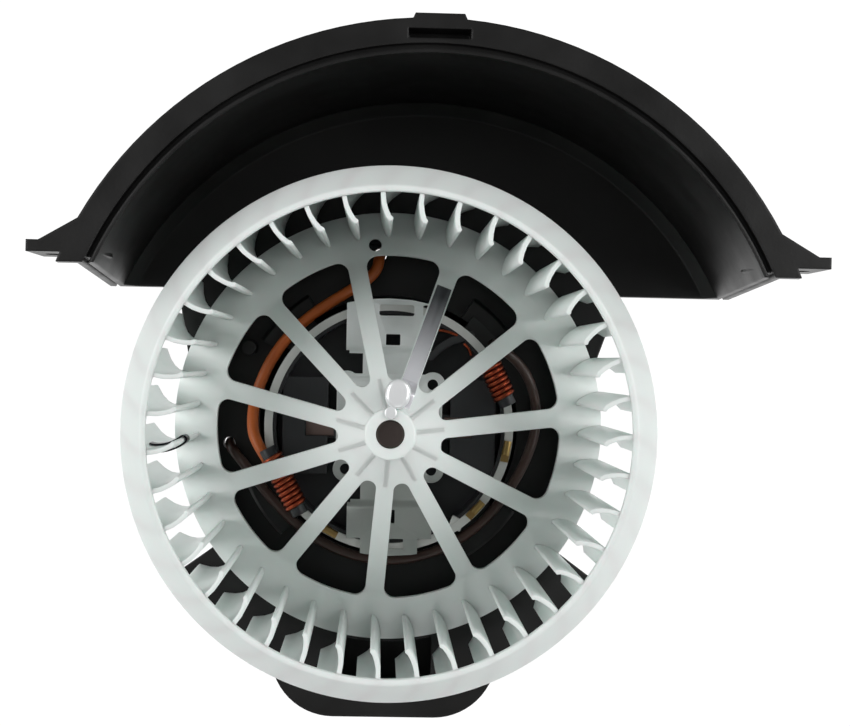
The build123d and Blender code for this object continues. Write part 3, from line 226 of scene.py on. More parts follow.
def mend(piece: bpy.types.Object) -> None:
    """Merges doubles and turns every face of a closed piece outwards.

    Args:
        piece: The piece to mend.
    """
    with editing(piece):
        bpy.ops.mesh.select_all(action="SELECT")
        bpy.ops.mesh.remove_doubles(threshold=WELD_GAP)
        bpy.ops.mesh.normals_make_consistent(inside=False)


def lathe(name: str, profile: Sequence[Pair], steps: int) -> bpy.types.Object:
    """Turns a closed profile about the shaft axis.

    Args:
        name: Name of the new piece.
        profile: Corners as radius and height.
        steps: Number of steps round the turn.

    Returns:
        The turned piece, closed.
    """
    piece = draw(name, [(radius, 0.0, height) for radius, height in profile])
    with editing(piece, Pick.EDGES):
        bpy.ops.mesh.select_all(action="SELECT")
        bpy.ops.mesh.spin(steps=steps, angle=math.tau, center=(0.0, 0.0, 0.0), axis=(0.0, 0.0, 1.0))
    mend(piece)
    return piece


def extruded(name: str, outline: Sequence[Point], shift: Point) -> bpy.types.Object:
    """Draws a flat outline, fills it and extrudes it.

    Args:
        name: Name of the new piece.
        outline: Corners of the flat outline.
        shift: Way of the extrusion.

    Returns:
        The closed piece.
    """
    piece = draw(name, outline)
    with editing(piece):
        bpy.ops.mesh.select_all(action="SELECT")
        bpy.ops.mesh.edge_face_add()
        bpy.ops.mesh.extrude_region_move(TRANSFORM_OT_translate={"value": shift})
    mend(piece)
    return piece


def prism(name: str, outline: Sequence[Pair], low: float, high: float) -> bpy.types.Object:
    """Makes a closed piece from a plan outline of X and Y, between two heights."""
    return extruded(name, [(x, y, low) for x, y in outline], (0.0, 0.0, high - low))


def upright(name: str, profile: Sequence[Pair], left: float, right: float) -> bpy.types.Object:
    """Makes a closed piece from a side profile of Y and Z, between two places along X."""
    return extruded(name, [(left, y, z) for y, z in profile], (right - left, 0.0, 0.0))


def close_ends(piece: bpy.types.Object) -> None:
    """Fills the open ends of a swept piece and mends it.

    Args:
        piece: The piece with open ends.
    """
    with editing(piece):
        bpy.ops.mesh.select_all(action="SELECT")
        bpy.ops.mesh.fill_holes(sides=0)
    mend(piece)


def smooth(angle: float) -> None:
    """Shades the active piece smooth, but for edges sharper than an angle in degrees."""
    bpy.ops.object.shade_smooth_by_angle(angle=math.radians(angle))


def apply_modifiers(piece: bpy.types.Object) -> None:
    """Applies every modifier of a piece in order.

    Args:
        piece: The piece.
    """
    activate(piece)
    for modifier in list(piece.modifiers):
        bpy.ops.object.modifier_apply(modifier=modifier.name)


def soften(piece: bpy.types.Object, width: float = EDGE_WIDTH, segments: int = 2) -> None:
    """Rounds the sharp edges of a piece and shades it smooth.

    Args:
        piece: The piece to soften.
        width: Width of the rounding.
        segments: Faces across it.
    """
    bevel = piece.modifiers.new("edge_rounding", "BEVEL")
    bevel.width = width
    bevel.segments = segments
    bevel.limit_method = "ANGLE"
    bevel.angle_limit = math.radians(SHARP_ANGLE)
    bevel.use_clamp_overlap = True
    apply_modifiers(piece)
    smooth(SHADE_ANGLE)


def cut(piece: bpy.types.Object, cutter: bpy.types.Object, keep: Keep = Keep.REST) -> None:
    """Cuts a closed piece by another and removes the cutter.

    Args:
        piece: The piece to cut.
        cutter: The closed piece that cuts it.
        keep: Whether the rest or the shared part stays.
    """
    modifier = piece.modifiers.new("cut", "BOOLEAN")
    modifier.operation = keep.value
    modifier.solver = "EXACT"
    modifier.object = cutter
    apply_modifiers(piece)
    bpy.data.objects.remove(cutter)


def copied(piece: bpy.types.Object, name: str, matrix: Matrix) -> bpy.types.Object:
    """Copies a piece with its own mesh, moved by a matrix.

    Args:
        piece: The piece to copy.
        name: Name of the copy.
        matrix: Where the copy goes.

    Returns:
        The copy.
    """
    twin = piece.copy()
    twin.data = piece.data.copy()
    twin.data.transform(matrix)
    twin.name = name
    twin.data.name = name
    bpy.context.scene.collection.objects.link(twin)
    return twin


def placed(pattern: bpy.types.Object, matrix: Matrix) -> bpy.types.Object:
    """Copies a pattern to its place and removes the pattern.

    Args:
        pattern: The piece as it was made.
        matrix: Where the copy goes.

    Returns:
        The copy.
    """
    twin = copied(pattern, pattern.name, matrix)
    bpy.data.objects.remove(pattern)
    return twin


def joined(name: str, pieces: Sequence[bpy.types.Object]) -> bpy.types.Object:
    """Joins pieces into the first of them.

    Args:
        name: Name of the result.
        pieces: Pieces to join.

    Returns:
        The joined piece.
    """
    activate(pieces[0])
    for piece in pieces:
        piece.select_set(True)
    bpy.ops.object.join()
    whole = bpy.context.object
    whole.name = name
    whole.data.name = name
    return whole


def arc(centre: Pair, radius: float, start: float, end: float, steps: int) -> list[Pair]:
    """Gives plan points along an arc, both ends included.

    Args:
        centre: Centre of the arc.
        radius: Radius of the arc.
        start: First angle in degrees from +X.
        end: Last angle in degrees.
        steps: Number of runs between the points.

    Returns:
        The points from start to end.
    """
    points = []
    for number in range(steps + 1):
        angle = math.radians(start + (end - start) * number / steps)
        points.append((centre[0] + radius * math.cos(angle), centre[1] + radius * math.sin(angle)))
    return points


def circle(centre: Pair, radius: float, sides: int) -> list[Pair]:
    """Gives the corners of a closed circle with so many sides."""
    return arc(centre, radius, 0.0, 360.0 * (sides - 1) / sides, sides - 1)


def corner(before: Pair, at: Pair, after: Pair, radius: float, steps: int) -> list[Pair]:
    """Gives the points of a rounded corner between two straight runs.

    Args:
        before: A point on the first run.
        at: The sharp corner.
        after: A point on the second run.
        radius: Radius of the rounding.
        steps: Runs that stand for the arc.

    Returns:
        The points from one run to the other.
    """
    here = Vector(at)
    first = (Vector(before) - here).normalized()
    second = (Vector(after) - here).normalized()
    half = first.angle(second) / 2.0
    middle = here + (first + second).normalized() * (radius / math.sin(half))
    start = (here + first * (radius / math.tan(half)) - middle).normalized()
    end = (here + second * (radius / math.tan(half)) - middle).normalized()
    return [tuple(middle + start.slerp(end, number / steps) * radius) for number in range(steps + 1)]


def rounded(line: Sequence[Pair], radii: Sequence[float]) -> list[Pair]:
    """Gives an open line with each inner corner rounded.

    Args:
        line: The line with sharp corners.
        radii: Radius of each inner corner.

    Returns:
        The rounded line.
    """
    points = [line[0]]
    for before, at, after, radius in zip(line, line[1:], line[2:], radii):
        points += corner(before, at, after, radius, BEND_STEPS)
    return [*points, line[-1]]


def band(line: Sequence[Pair], width: float) -> list[Pair]:
    """Gives the closed outline of a strip of even width with pointed ends.

    Args:
        line: Middle line of the strip.
        width: Width of the strip.

    Returns:
        The corners of the outline.
    """
    points = [Vector(point) for point in line]
    left, right = [], []
    for number, point in enumerate(points):
        ahead = points[min(number + 1, len(points) - 1)] - points[max(number - 1, 0)]
        side = Vector((-ahead.y, ahead.x)).normalized() * (width / 2.0)
        left.append(tuple(point + side))
        right.append(tuple(point - side))
    tip = points[-1] + (points[-1] - points[-2]).normalized() * (width / 3.0)
    root = points[0] + (points[0] - points[1]).normalized() * (width / 3.0)
    return [*left, tuple(tip), *reversed(right), tuple(root)]


def tube(name: str, route: Sequence[Point], radius: float) -> bpy.types.Object:
    """Makes a round lead that follows a smooth line along a route.

    Args:
        name: Name of the new piece.
        route: Points of the route.
        radius: Radius of the lead.

    Returns:
        The lead as a closed mesh.
    """
    data = bpy.data.curves.new(name, "CURVE")
    data.dimensions = "3D"
    data.bevel_depth = radius
    data.bevel_resolution = LEAD_ROUNDNESS
    data.resolution_u = LEAD_RUNS
    data.use_fill_caps = True
    spline = data.splines.new("NURBS")
    spline.points.add(len(route) - 1)
    for point, place in zip(spline.points, route):
        point.co = (*place, 1.0)
    spline.order_u = LEAD_ORDER
    spline.use_endpoint_u = True
    piece = bpy.data.objects.new(name, data)
    bpy.context.scene.collection.objects.link(piece)
    activate(piece)
    bpy.ops.object.convert(target="MESH")
    piece.data.name = name
    close_ends(piece)
    smooth(50.0)
    return piece


# Materials


class Shader:
    """A procedural material being put together, read in the piece's own object coordinates."""

    def __init__(self, name: str) -> None:
        """Starts a material with a Principled shader of its own."""
        self.material = bpy.data.materials.new(name)
        self.material.use_nodes = True
        self.nodes = self.material.node_tree.nodes
        self.links = self.material.node_tree.links
        self.surface = next(node for node in self.nodes if node.type == "BSDF_PRINCIPLED")
        coordinates = self.nodes.new("ShaderNodeTexCoord")
        self.place = coordinates.outputs["Object"]

    def noise(self, scale: float, detail: float) -> bpy.types.NodeSocket:
        """Adds a noise pattern.

        Args:
            scale: Spots of the pattern in a metre.
            detail: Finer layers on top of it.

        Returns:
            The pattern's value.
        """
        node = self.nodes.new("ShaderNodeTexNoise")
        node.inputs["Scale"].default_value = scale
        node.inputs["Detail"].default_value = detail
        self.links.new(self.place, node.inputs["Vector"])
        return node.outputs["Fac"]

    def span(self, value: bpy.types.NodeSocket, low: float, high: float,
             start: float = 0.3, end: float = 0.7) -> bpy.types.NodeSocket:
        """Maps the values of a pattern to another range.

        Args:
            value: The pattern.
            low: What start becomes.
            high: What end becomes.
            start: Value at the low end.
            end: Value at the high end.

        Returns:
            The mapped value.
        """
        node = self.nodes.new("ShaderNodeMapRange")
        node.inputs["From Min"].default_value = start
        node.inputs["From Max"].default_value = end
        node.inputs["To Min"].default_value = low
        node.inputs["To Max"].default_value = high
        self.links.new(value, node.inputs["Value"])
        return node.outputs["Result"]

    def mix(self, share: bpy.types.NodeSocket, first: Point, second: Point) -> bpy.types.NodeSocket:
        """Mixes two colours.

        Args:
            share: How much of the second colour shows.
            first: Colour at share 0.
            second: Colour at share 1.

        Returns:
            The mixed colour.
        """
        node = self.nodes.new("ShaderNodeMix")
        node.data_type = "RGBA"
        colours = [socket for socket in node.inputs if socket.type == "RGBA"]
        for socket, colour in zip(colours, (first, second)):
            socket.default_value = (*colour, 1.0)
        self.links.new(share, node.inputs["Factor"])
        return next(socket for socket in node.outputs if socket.type == "RGBA")

    def along(self, way: Sequence[float]) -> bpy.types.NodeSocket:
        """Measures how far a place lies from the origin along a direction.

        Args:
            way: The direction, one metre long.

        Returns:
            The distance in metres.
        """
        node = self.nodes.new("ShaderNodeVectorMath")
        node.operation = "DOT_PRODUCT"
        node.inputs[1].default_value = way
        self.links.new(self.place, node.inputs[0])
        return node.outputs["Value"]

    def skin(self, height: bpy.types.NodeSocket, depth: float, rounding: float) -> None:
        """Raises the surface by a pattern and softens the look of its sharp edges.

        Args:
            height: The pattern.
            depth: Depth of the pattern in metres.
            rounding: Radius that sharp edges seem to have.
        """
        edges = self.nodes.new("ShaderNodeBevel")
        edges.samples = EDGE_SAMPLES
        edges.inputs["Radius"].default_value = rounding
        grain = self.nodes.new("ShaderNodeBump")
        grain.inputs["Distance"].default_value = depth
        self.links.new(height, grain.inputs["Height"])
        self.links.new(edges.outputs["Normal"], grain.inputs["Normal"])
        self.links.new(grain.outputs["Normal"], self.surface.inputs["Normal"])

    def link(self, value: bpy.types.NodeSocket, socket: str) -> None:
        """Joins a value to a socket of the surface."""
        self.links.new(value, self.surface.inputs[socket])

    def set(self, **values: float | Sequence[float]) -> None:
        """Sets sockets of the surface.

        Args:
            values: Value of each socket, its name written with underscores for blanks.
        """
        for name, value in values.items():
            self.surface.inputs[name.replace("_", " ")].default_value = value


@dataclass(frozen=True)
class Moulding:
    """Moulded plastic with a fine grain and slow changes of shade."""

    name: str
    slot: str
    light: Point
    dark: Point
    gloss: Pair = (0.35, 0.5)
    grain: float = 900.0
    depth: float = 0.00003
    glow: float = 0.0
    rounding: float = 0.0004
    mirror: float = 0.5
    cloud: float = 18.0
    sheen: float = 60.0
    glow_colour: Point = (0.7, 1.0, 0.9)
    glow_depth: float = 0.004

    def make(self) -> bpy.types.Material:
        """Builds the material.

        Returns:
            The material.
        """
        shader = Shader(self.name)
        shade = shader.span(shader.noise(self.cloud, 4.0), 0.0, 1.0)
        shader.link(shader.mix(shade, self.dark, self.light), "Base Color")
        shader.link(shader.span(shader.noise(self.sheen, 5.0), *self.gloss), "Roughness")
        shader.skin(shader.noise(self.grain, 4.0), self.depth, self.rounding)
        shader.set(Specular_IOR_Level=self.mirror)
        if self.glow:
            shader.set(Subsurface_Weight=self.glow, Subsurface_Radius=self.glow_colour,
                       Subsurface_Scale=self.glow_depth)
        return shader.material


@dataclass(frozen=True)
class Metal:
    """Bare or plated metal with slow changes of tone."""

    name: str
    slot: str
    light: Point
    dark: Point
    gloss: float = 0.34
    bare: float = 1.0
    cloud: float = 45.0

    def make(self) -> bpy.types.Material:
        """Builds the material.

        Returns:
            The material.
        """
        shader = Shader(self.name)
        shade = shader.span(shader.noise(self.cloud, 6.0), 0.0, 1.0)
        shader.link(shader.mix(shade, self.dark, self.light), "Base Color")
        shader.set(Metallic=self.bare, Roughness=self.gloss)
        return shader.material


@dataclass(frozen=True)
class PaintedLightMetal:
    """Metal whose tone fades from one colour to another along a direction, a painted fade of light and shade.
    """

    name: str
    slot: str
    near: Point
    far: Point
    way: Point
    start: float
    end: float
    gloss: float = 0.34
    bare: float = 0.6

    def make(self) -> bpy.types.Material:
        """Builds the material.

        Returns:
            The material.
        """
        shader = Shader(self.name)
        share = shader.span(shader.along(self.way), 0.0, 1.0, self.start, self.end)
        shader.link(shader.mix(share, self.near, self.far), "Base Color")
        shader.set(Metallic=self.bare, Roughness=self.gloss)
        return shader.material


Finish = Moulding | Metal | PaintedLightMetal


NATURAL = Moulding("natural_moulding", "natural_moulding", (0.81, 0.86, 0.84), (0.77, 0.83, 0.80),
                   gloss=(0.30, 0.42), grain=700.0, depth=0.00001, glow=0.35)
BLACK = Moulding("black_moulding", "black_moulding", (0.0065, 0.0062, 0.0060), (0.0040, 0.0038, 0.0037),
                 gloss=(0.34, 0.48), rounding=0.0008, mirror=0.45)
BRUSH_BLACK = Moulding("brush_moulding", "brush_moulding", (0.034, 0.034, 0.037), (0.020, 0.020, 0.022))
RUBBER = Moulding("black_rubber", "black_rubber", (0.018, 0.018, 0.018), (0.010, 0.010, 0.010),
                  gloss=(0.55, 0.7))
CARBON = Moulding("pressed_carbon", "carbon", (0.26, 0.17, 0.15), (0.16, 0.11, 0.095), gloss=(0.4, 0.6))
FERRITE = Moulding("ferrite", "ferrite", (0.035, 0.035, 0.04), (0.02, 0.02, 0.022))
FIBRE = Moulding("fibre", "fibre", (0.14, 0.06, 0.03), (0.09, 0.04, 0.02), gloss=(0.5, 0.6))
ORANGE = Moulding("orange_sleeve", "orange_sleeve", (0.62, 0.135, 0.02), (0.46, 0.10, 0.015))
BROWN = Moulding("brown_sleeve", "brown_sleeve", (0.06, 0.025, 0.018), (0.035, 0.018, 0.013),
                 gloss=(0.3, 0.45))
ZINC = Metal("zinc_steel", "zinc_steel", (0.88, 0.88, 0.85), (0.66, 0.67, 0.64), bare=0.35)
# Bearing plate steel: near white at +Y darkening to dark grey at -Y, a painted shade over the lower wing.
SHADED_PRESSED = PaintedLightMetal("pressed_steel", "pressed_steel", (0.38, 0.40, 0.38), (0.92, 0.95, 0.94),
                      (0.0, 1.0, 0.0), -0.018, 0.018, bare=0.4)
SPRING = Metal("spring_steel", "spring_steel", (0.60, 0.61, 0.66), (0.45, 0.45, 0.50), gloss=0.24)
# Clip loop and tab: near-white colour on a weakly metallic base, a painted highlight standing in for the
# polished steel's reflection of the lamps.
LOOP_HIGHLIGHT = PaintedLightMetal("loop_painted_highlight", "spring_steel", (0.86, 0.88, 0.88), (0.90, 0.91, 0.92), (0.0, 1.0, 0.0),
                   0.0, 0.02, gloss=0.3, bare=0.35)
# Clip tail: near white close to the hub, fading to dark along the spoke, a painted reflection of the
# surroundings in the shiny strip.
STRIP_REFLECTION = PaintedLightMetal("strip_painted_reflection", "spring_steel", (0.93, 0.92, 0.97), (0.10, 0.10, 0.11),
                    tuple(polar(1.0, 20.3)), 0.019, 0.043, gloss=0.26, bare=0.45)
DARK_SPRING = Metal("dark_spring", "dark_spring", (0.03, 0.03, 0.035), (0.015, 0.015, 0.02))
BRASS = Metal("brass", "brass", (0.48, 0.34, 0.14), (0.34, 0.22, 0.08))
BRONZE = Metal("bronze", "bronze", (0.30, 0.18, 0.08), (0.20, 0.12, 0.05))
COPPER_WIRE = Metal("copper_wire", "copper_wire", (0.44, 0.095, 0.045), (0.30, 0.055, 0.025), gloss=0.3)
COPPER_BAR = Metal("copper_bar", "copper_bar", (0.55, 0.25, 0.12), (0.35, 0.14, 0.07))
SCREW_STEEL = Metal("screw_steel", "screw_steel", (0.35, 0.35, 0.36), (0.22, 0.22, 0.23))
TIN = Metal("tin_plate", "tin_plate", (0.65, 0.65, 0.62), (0.5, 0.5, 0.48))
SHAFT_STEEL = Metal("shaft_steel", "shaft_steel", (0.16, 0.13, 0.12), (0.08, 0.065, 0.06), gloss=0.38)
LAMINATION = Metal("lamination", "lamination", (0.22, 0.23, 0.25), (0.14, 0.14, 0.16))

CAD_FINISHES: dict[str, Finish] = {
    "scroll_housing": BLACK,
    "motor_carrier": BLACK,
    "cooling_duct": BLACK,
    "motor_can": ZINC,
    "magnets": FERRITE,
    "brush_plate": BRUSH_BLACK,
    "brush_holders": BRUSH_BLACK,
    "brush_right": CARBON,
    "brush_left": CARBON,
    "brush_spring_right": SPRING,
    "brush_spring_left": SPRING,
    "bearing_plate": SHADED_PRESSED,
    "front_bush": BRONZE,
    "rear_bush": BRONZE,
    "front_retainer": SPRING,
    "rear_retainer": SPRING,
    "choke_coils": COPPER_WIRE,
    "choke_cores": FERRITE,
    "supply_lead": ORANGE,
    "return_lead": BROWN,
    "crimp_terminals": BRASS,
    "isolators": RUBBER,
    "rear_isolator": RUBBER,
    "carrier_screws": SCREW_STEEL,
    "plug_socket": BRUSH_BLACK,
    "socket_pins": TIN,
    "fan_wheel": NATURAL,
    "shaft": SHAFT_STEEL,
    "armature_core": LAMINATION,
    "armature_winding": COPPER_WIRE,
    "commutator": COPPER_BAR,
    "thrust_washers": FIBRE,
    "spoke_clip": SPRING,
    "balance_clip": DARK_SPRING,
}


class Dresser:
    """Makes each finish once and hands pieces to their bodies."""

    def __init__(self) -> None:
        """Starts with no materials."""
        self.made: dict[str, bpy.types.Material] = {}

    def material(self, finish: Finish) -> bpy.types.Material:
        """Gives the finish's material, made at its first use."""
        if finish.name not in self.made:
            self.made[finish.name] = finish.make()
        return self.made[finish.name]

    def dress(self, piece: bpy.types.Object, finish: Finish) -> None:
        """Gives a piece one finish all over."""
        piece.data.materials.clear()
        piece.data.materials.append(self.material(finish))

    def hand_over(self, piece: bpy.types.Object, finish: Finish, body: Body, *nodes: str) -> None:
        """Dresses a finished piece and puts it on its body.

        Args:
            piece: The finished piece.
            finish: Its finish.
            body: The body that carries it.
            nodes: Solids that the piece stands for.
        """
        self.dress(piece, finish)
        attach(piece, body.value)
        if nodes:
            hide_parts(*nodes)
        log.info("%s: %d faces on %s", piece.name, len(piece.data.polygons), body.value)

    def dress_solids(self) -> None:
        """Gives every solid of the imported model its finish."""
        for name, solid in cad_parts.items():
            if not solid.material_slots:
                solid.data.materials.append(None)
            for slot in solid.material_slots:
                slot.material = self.material(CAD_FINISHES[name])


class SubAssembly(ABC):
    """A group of pieces with sizes of its own."""

    @abstractmethod
    def build(self, dresser: Dresser) -> None:
        """Builds the pieces and hands them to their bodies."""


# Fan wheel


@dataclass
class FanWheel(SubAssembly):
    """Squirrel-cage wheel in one pale moulding: ring, blades, disc, spoke cone and hub."""

    lip_height: float = 0.118
    lip_radius: float = 0.067
    lip_flat: float = 0.0016
    ring_radius: float = 0.075
    ring_drop: float = 0.0074
    ring_wall: float = 0.0024
    skirt_depth: float = 0.0036
    skirt_wall: float = 0.0014
    disc_height: float = 0.056
    disc_rise: float = 0.008
    disc_wall: float = 0.0025
    cone_wall: float = 0.0031
    window_radius: float = 0.052
    window_inner: float = 0.015
    window_corner: float = 0.0034
    window_end: float = 0.0022
    window_reach: float = 0.0531
    hub_radius: float = 0.0073
    hub_top: float = 0.112
    hub_bottom: float = 0.080
    hub_bevel: float = 0.0008
    bore: float = 0.00402
    spokes: int = 11
    spoke_turn: float = 20.3
    spoke_outer: float = 0.0058
    spoke_inner: float = 0.005
    rib_reach: float = 0.0155
    rib_rise: float = 0.00045
    rib_wall: float = 0.0012
    rib_root: float = 0.0004
    rib_depth: float = 0.001
    rib_sink: float = 0.0001
    edge_rounding: float = 0.0005
    lip_rounding: float = 0.0012
    shoulder_rounding: float = 0.0011
    skirt_root: float = 0.0012
    lip_undercut: float = 0.0002
    knee_rounding: float = 0.012
    hub_root: float = 0.0012
    hub_sink: float = 0.0002
    ring_steps: int = 192
    back_steps: int = 176
    cutter_steps: int = 96
    rim_steps: int = 12
    mark_sides: int = 48
    blades: int = 39
    blade_turn: float = -3.7
    blade_wall: float = 0.0013
    blade_drop: float = 0.0008
    blade_line: tuple[Pair, ...] = (
        (0.0594, 2.8), (0.0602, 2.1), (0.0620, 1.4), (0.0643, 0.9), (0.0670, 0.8), (0.0684, 1.0),
        (0.0702, 1.7), (0.0720, 3.0), (0.0734, 4.4), (0.0743, 5.3))
    mark_radius: float = 0.002
    mark_place: Pair = (0.0566, -5.5)

    def disc_top(self, radius: float) -> float:
        """Gives the height of the disc's front at a radius."""
        share = (self.lip_radius - radius) / (self.lip_radius - self.window_radius)
        return self.disc_height + self.disc_rise * share

    def cone_top(self, radius: float) -> float:
        """Gives the height of the spoke cone's front at a radius."""
        return self.disc_height + self.disc_rise + self.window_radius - radius

    def ring(self) -> bpy.types.Object:
        """Turns the intake ring with its rounded lip, its slope and its skirt.

        Returns:
            The ring.
        """
        flat = self.lip_radius + self.lip_flat
        inside = self.ring_radius - self.skirt_wall
        under = self.lip_height - self.ring_wall
        edge = self.lip_height - self.ring_drop
        skirt = edge - self.skirt_depth
        lip_back, lip_front = (self.lip_radius, under), (self.lip_radius, self.lip_height)
        slope_top, slope_end = (flat, self.lip_height), (self.ring_radius, edge)
        skirt_outer, skirt_inner = (self.ring_radius, skirt), (inside, skirt)
        small = self.edge_rounding
        piece = lathe("wheel_ring", [
            *corner(lip_back, lip_front, slope_top, small, 4),
            *corner(lip_front, slope_top, slope_end, self.lip_rounding, 4),
            *corner(slope_top, slope_end, skirt_outer, self.shoulder_rounding, 5),
            *corner(slope_end, skirt_outer, skirt_inner, small, 3),
            *corner(skirt_outer, skirt_inner, (inside, edge), small, 3),
            (inside, edge - self.skirt_root),
            (flat - self.lip_undercut, under),
            *corner((flat, under), lip_back, lip_front, small, 3),
        ], self.ring_steps)
        smooth(40.0)
        return piece

    def window(self) -> bpy.types.Object:
        """Makes the cutter for the window that follows the spoke at turn 0.

        Returns:
            The cutter, with its four corners rounded.
        """
        pitch = math.tau / self.spokes
        sides = []
        for angle, hand in ((0.0, 1.0), (pitch, -1.0)):
            along = Vector((math.sin(angle), math.cos(angle)))
            across = Vector((math.cos(angle), -math.sin(angle))) * hand
            for reach in (self.window_inner, self.window_reach):
                share = (reach - self.window_inner) / (self.window_reach - self.window_inner)
                half = (self.spoke_inner + (self.spoke_outer - self.spoke_inner) * share) / 2.0
                sides.append(along * math.sqrt(reach ** 2 - half ** 2) + across * half)
        low, high, low_far, high_far = sides
        turn, turn_far = (math.degrees(math.atan2(point.x, point.y)) for point in (high, high_far))
        swing = math.degrees(self.window_corner / self.window_reach)
        span = turn_far - turn - 2.0 * swing
        rim = [polar(self.window_reach, turn + swing + span * step / self.rim_steps).xy
               for step in range(self.rim_steps + 1)]
        outline = [
            *corner(low_far, low, high, self.window_end, 4),
            *corner(low, high, rim[0], self.window_corner, 7),
            *[tuple(point) for point in rim[1:-1]],
            *corner(rim[-1], high_far, low_far, self.window_corner, 7),
            *corner(high_far, low_far, low, self.window_end, 4),
        ]
        return prism("window_cutter", outline, self.disc_height, self.hub_top)

    def back(self) -> bpy.types.Object:
        """Turns the disc, the cone and the hub, and cuts the windows and the mark hole.

        Returns:
            The wheel without its ring, ribs and blades.
        """
        under = self.disc_height - self.disc_wall
        low_cone = self.cone_top(0.0) - self.cone_wall
        slope = self.disc_rise / (self.lip_radius - self.window_radius)
        knee_under = (low_cone - under - slope * self.lip_radius) / (1.0 - slope)
        disc_edge = (self.lip_radius, self.disc_height)
        knee = (self.window_radius, self.disc_height + self.disc_rise)
        cone_end = (self.hub_radius, self.cone_top(self.hub_radius))
        foot = self.hub_radius + self.hub_root
        hub_low, hub_high = (self.hub_radius, self.hub_bottom), (self.hub_radius, self.hub_top)
        bore_low, bore_high = (self.bore, self.hub_bottom), (self.bore, self.hub_top)
        piece = lathe("wheel_back", [
            (self.lip_radius, under),
            disc_edge,
            *corner(disc_edge, knee, cone_end, self.knee_rounding, 5),
            (foot, self.cone_top(foot)),
            (self.hub_radius, self.cone_top(self.hub_radius + self.hub_sink)),
            *corner(hub_low, hub_high, bore_high, self.hub_bevel, 4),
            bore_high,
            bore_low,
            hub_low,
            (self.hub_radius, low_cone - self.hub_radius),
            (knee_under, low_cone - knee_under),
        ], self.back_steps)
        cut(piece, joined("window_cutters", self.pattern(self.window(), self.spokes, self.spoke_turn)))
        mark = circle(polar(*self.mark_place).xy, self.mark_radius, self.mark_sides)
        cut(piece, prism("mark_cutter", mark, under, self.hub_top))
        activate(piece)
        smooth(30.0)
        return piece

    def rib(self) -> bpy.types.Object:
        """Makes the gusset from the hub to the spoke at turn 0.

        Returns:
            The gusset.
        """
        start = self.hub_radius - self.rib_root
        high, low = self.cone_top(self.hub_radius), self.cone_top(self.rib_reach)
        piece = upright("wheel_rib", [
            (start, high - self.rib_depth),
            (start, high + self.rib_rise),
            (self.rib_reach, low - self.rib_sink),
            (self.rib_reach, low - self.rib_depth),
        ], -self.rib_wall / 2.0, self.rib_wall / 2.0)
        soften(piece, segments=3)
        return piece

    def blade(self) -> bpy.types.Object:
        """Makes the blade at turn 0, hooked at both edges and flush with the lip in front.

        Returns:
            The blade.
        """
        under = self.disc_height - self.disc_wall
        line = [tuple(polar(radius, turn).xy) for radius, turn in self.blade_line]
        piece = prism("wheel_blade", band(line, self.blade_wall), under, self.lip_height)
        inner = self.blade_line[0][0] - self.blade_wall
        outer = self.blade_line[-1][0] + self.blade_wall
        flat = self.lip_radius + self.lip_flat
        middle = self.lip_height - self.ring_wall / 2.0
        slope = self.ring_drop / (self.ring_radius - flat)
        front = self.lip_height - self.blade_drop
        cut(piece, lathe("blade_envelope", [
            (inner, self.disc_top(inner) - self.disc_wall / 2.0),
            (self.lip_radius, self.disc_height - self.disc_wall / 2.0),
            (self.lip_radius + self.blade_wall / 2.0, under),
            (outer, under),
            (outer, middle - slope * (outer - flat)),
            (flat, middle),
            (flat - self.lip_flat / 2.0, front),
            (inner, front),
        ], self.cutter_steps), Keep.SHARED)
        soften(piece)
        return piece

    @staticmethod
    def pattern(first: bpy.types.Object, count: int, start: float) -> list[bpy.types.Object]:
        """Copies a piece evenly round the shaft axis and removes the piece itself.

        Args:
            first: The piece at turn 0.
            count: Number of copies.
            start: Turn of the first copy.

        Returns:
            The copies.
        """
        copies = [copied(first, first.name, turning(start + 360.0 * number / count))
                  for number in range(count)]
        bpy.data.objects.remove(first)
        return copies

    def build(self, dresser: Dresser) -> None:
        """Builds the wheel and puts it on the rotor."""
        parts = [self.back(), self.ring()]
        rib, blade = self.rib(), self.blade()
        parts += self.pattern(rib, self.spokes, self.spoke_turn)
        parts += self.pattern(blade, self.blades, self.blade_turn)
        dresser.hand_over(joined("fan_moulding", parts), NATURAL, Body.ROTOR, "fan_wheel")


# Motor


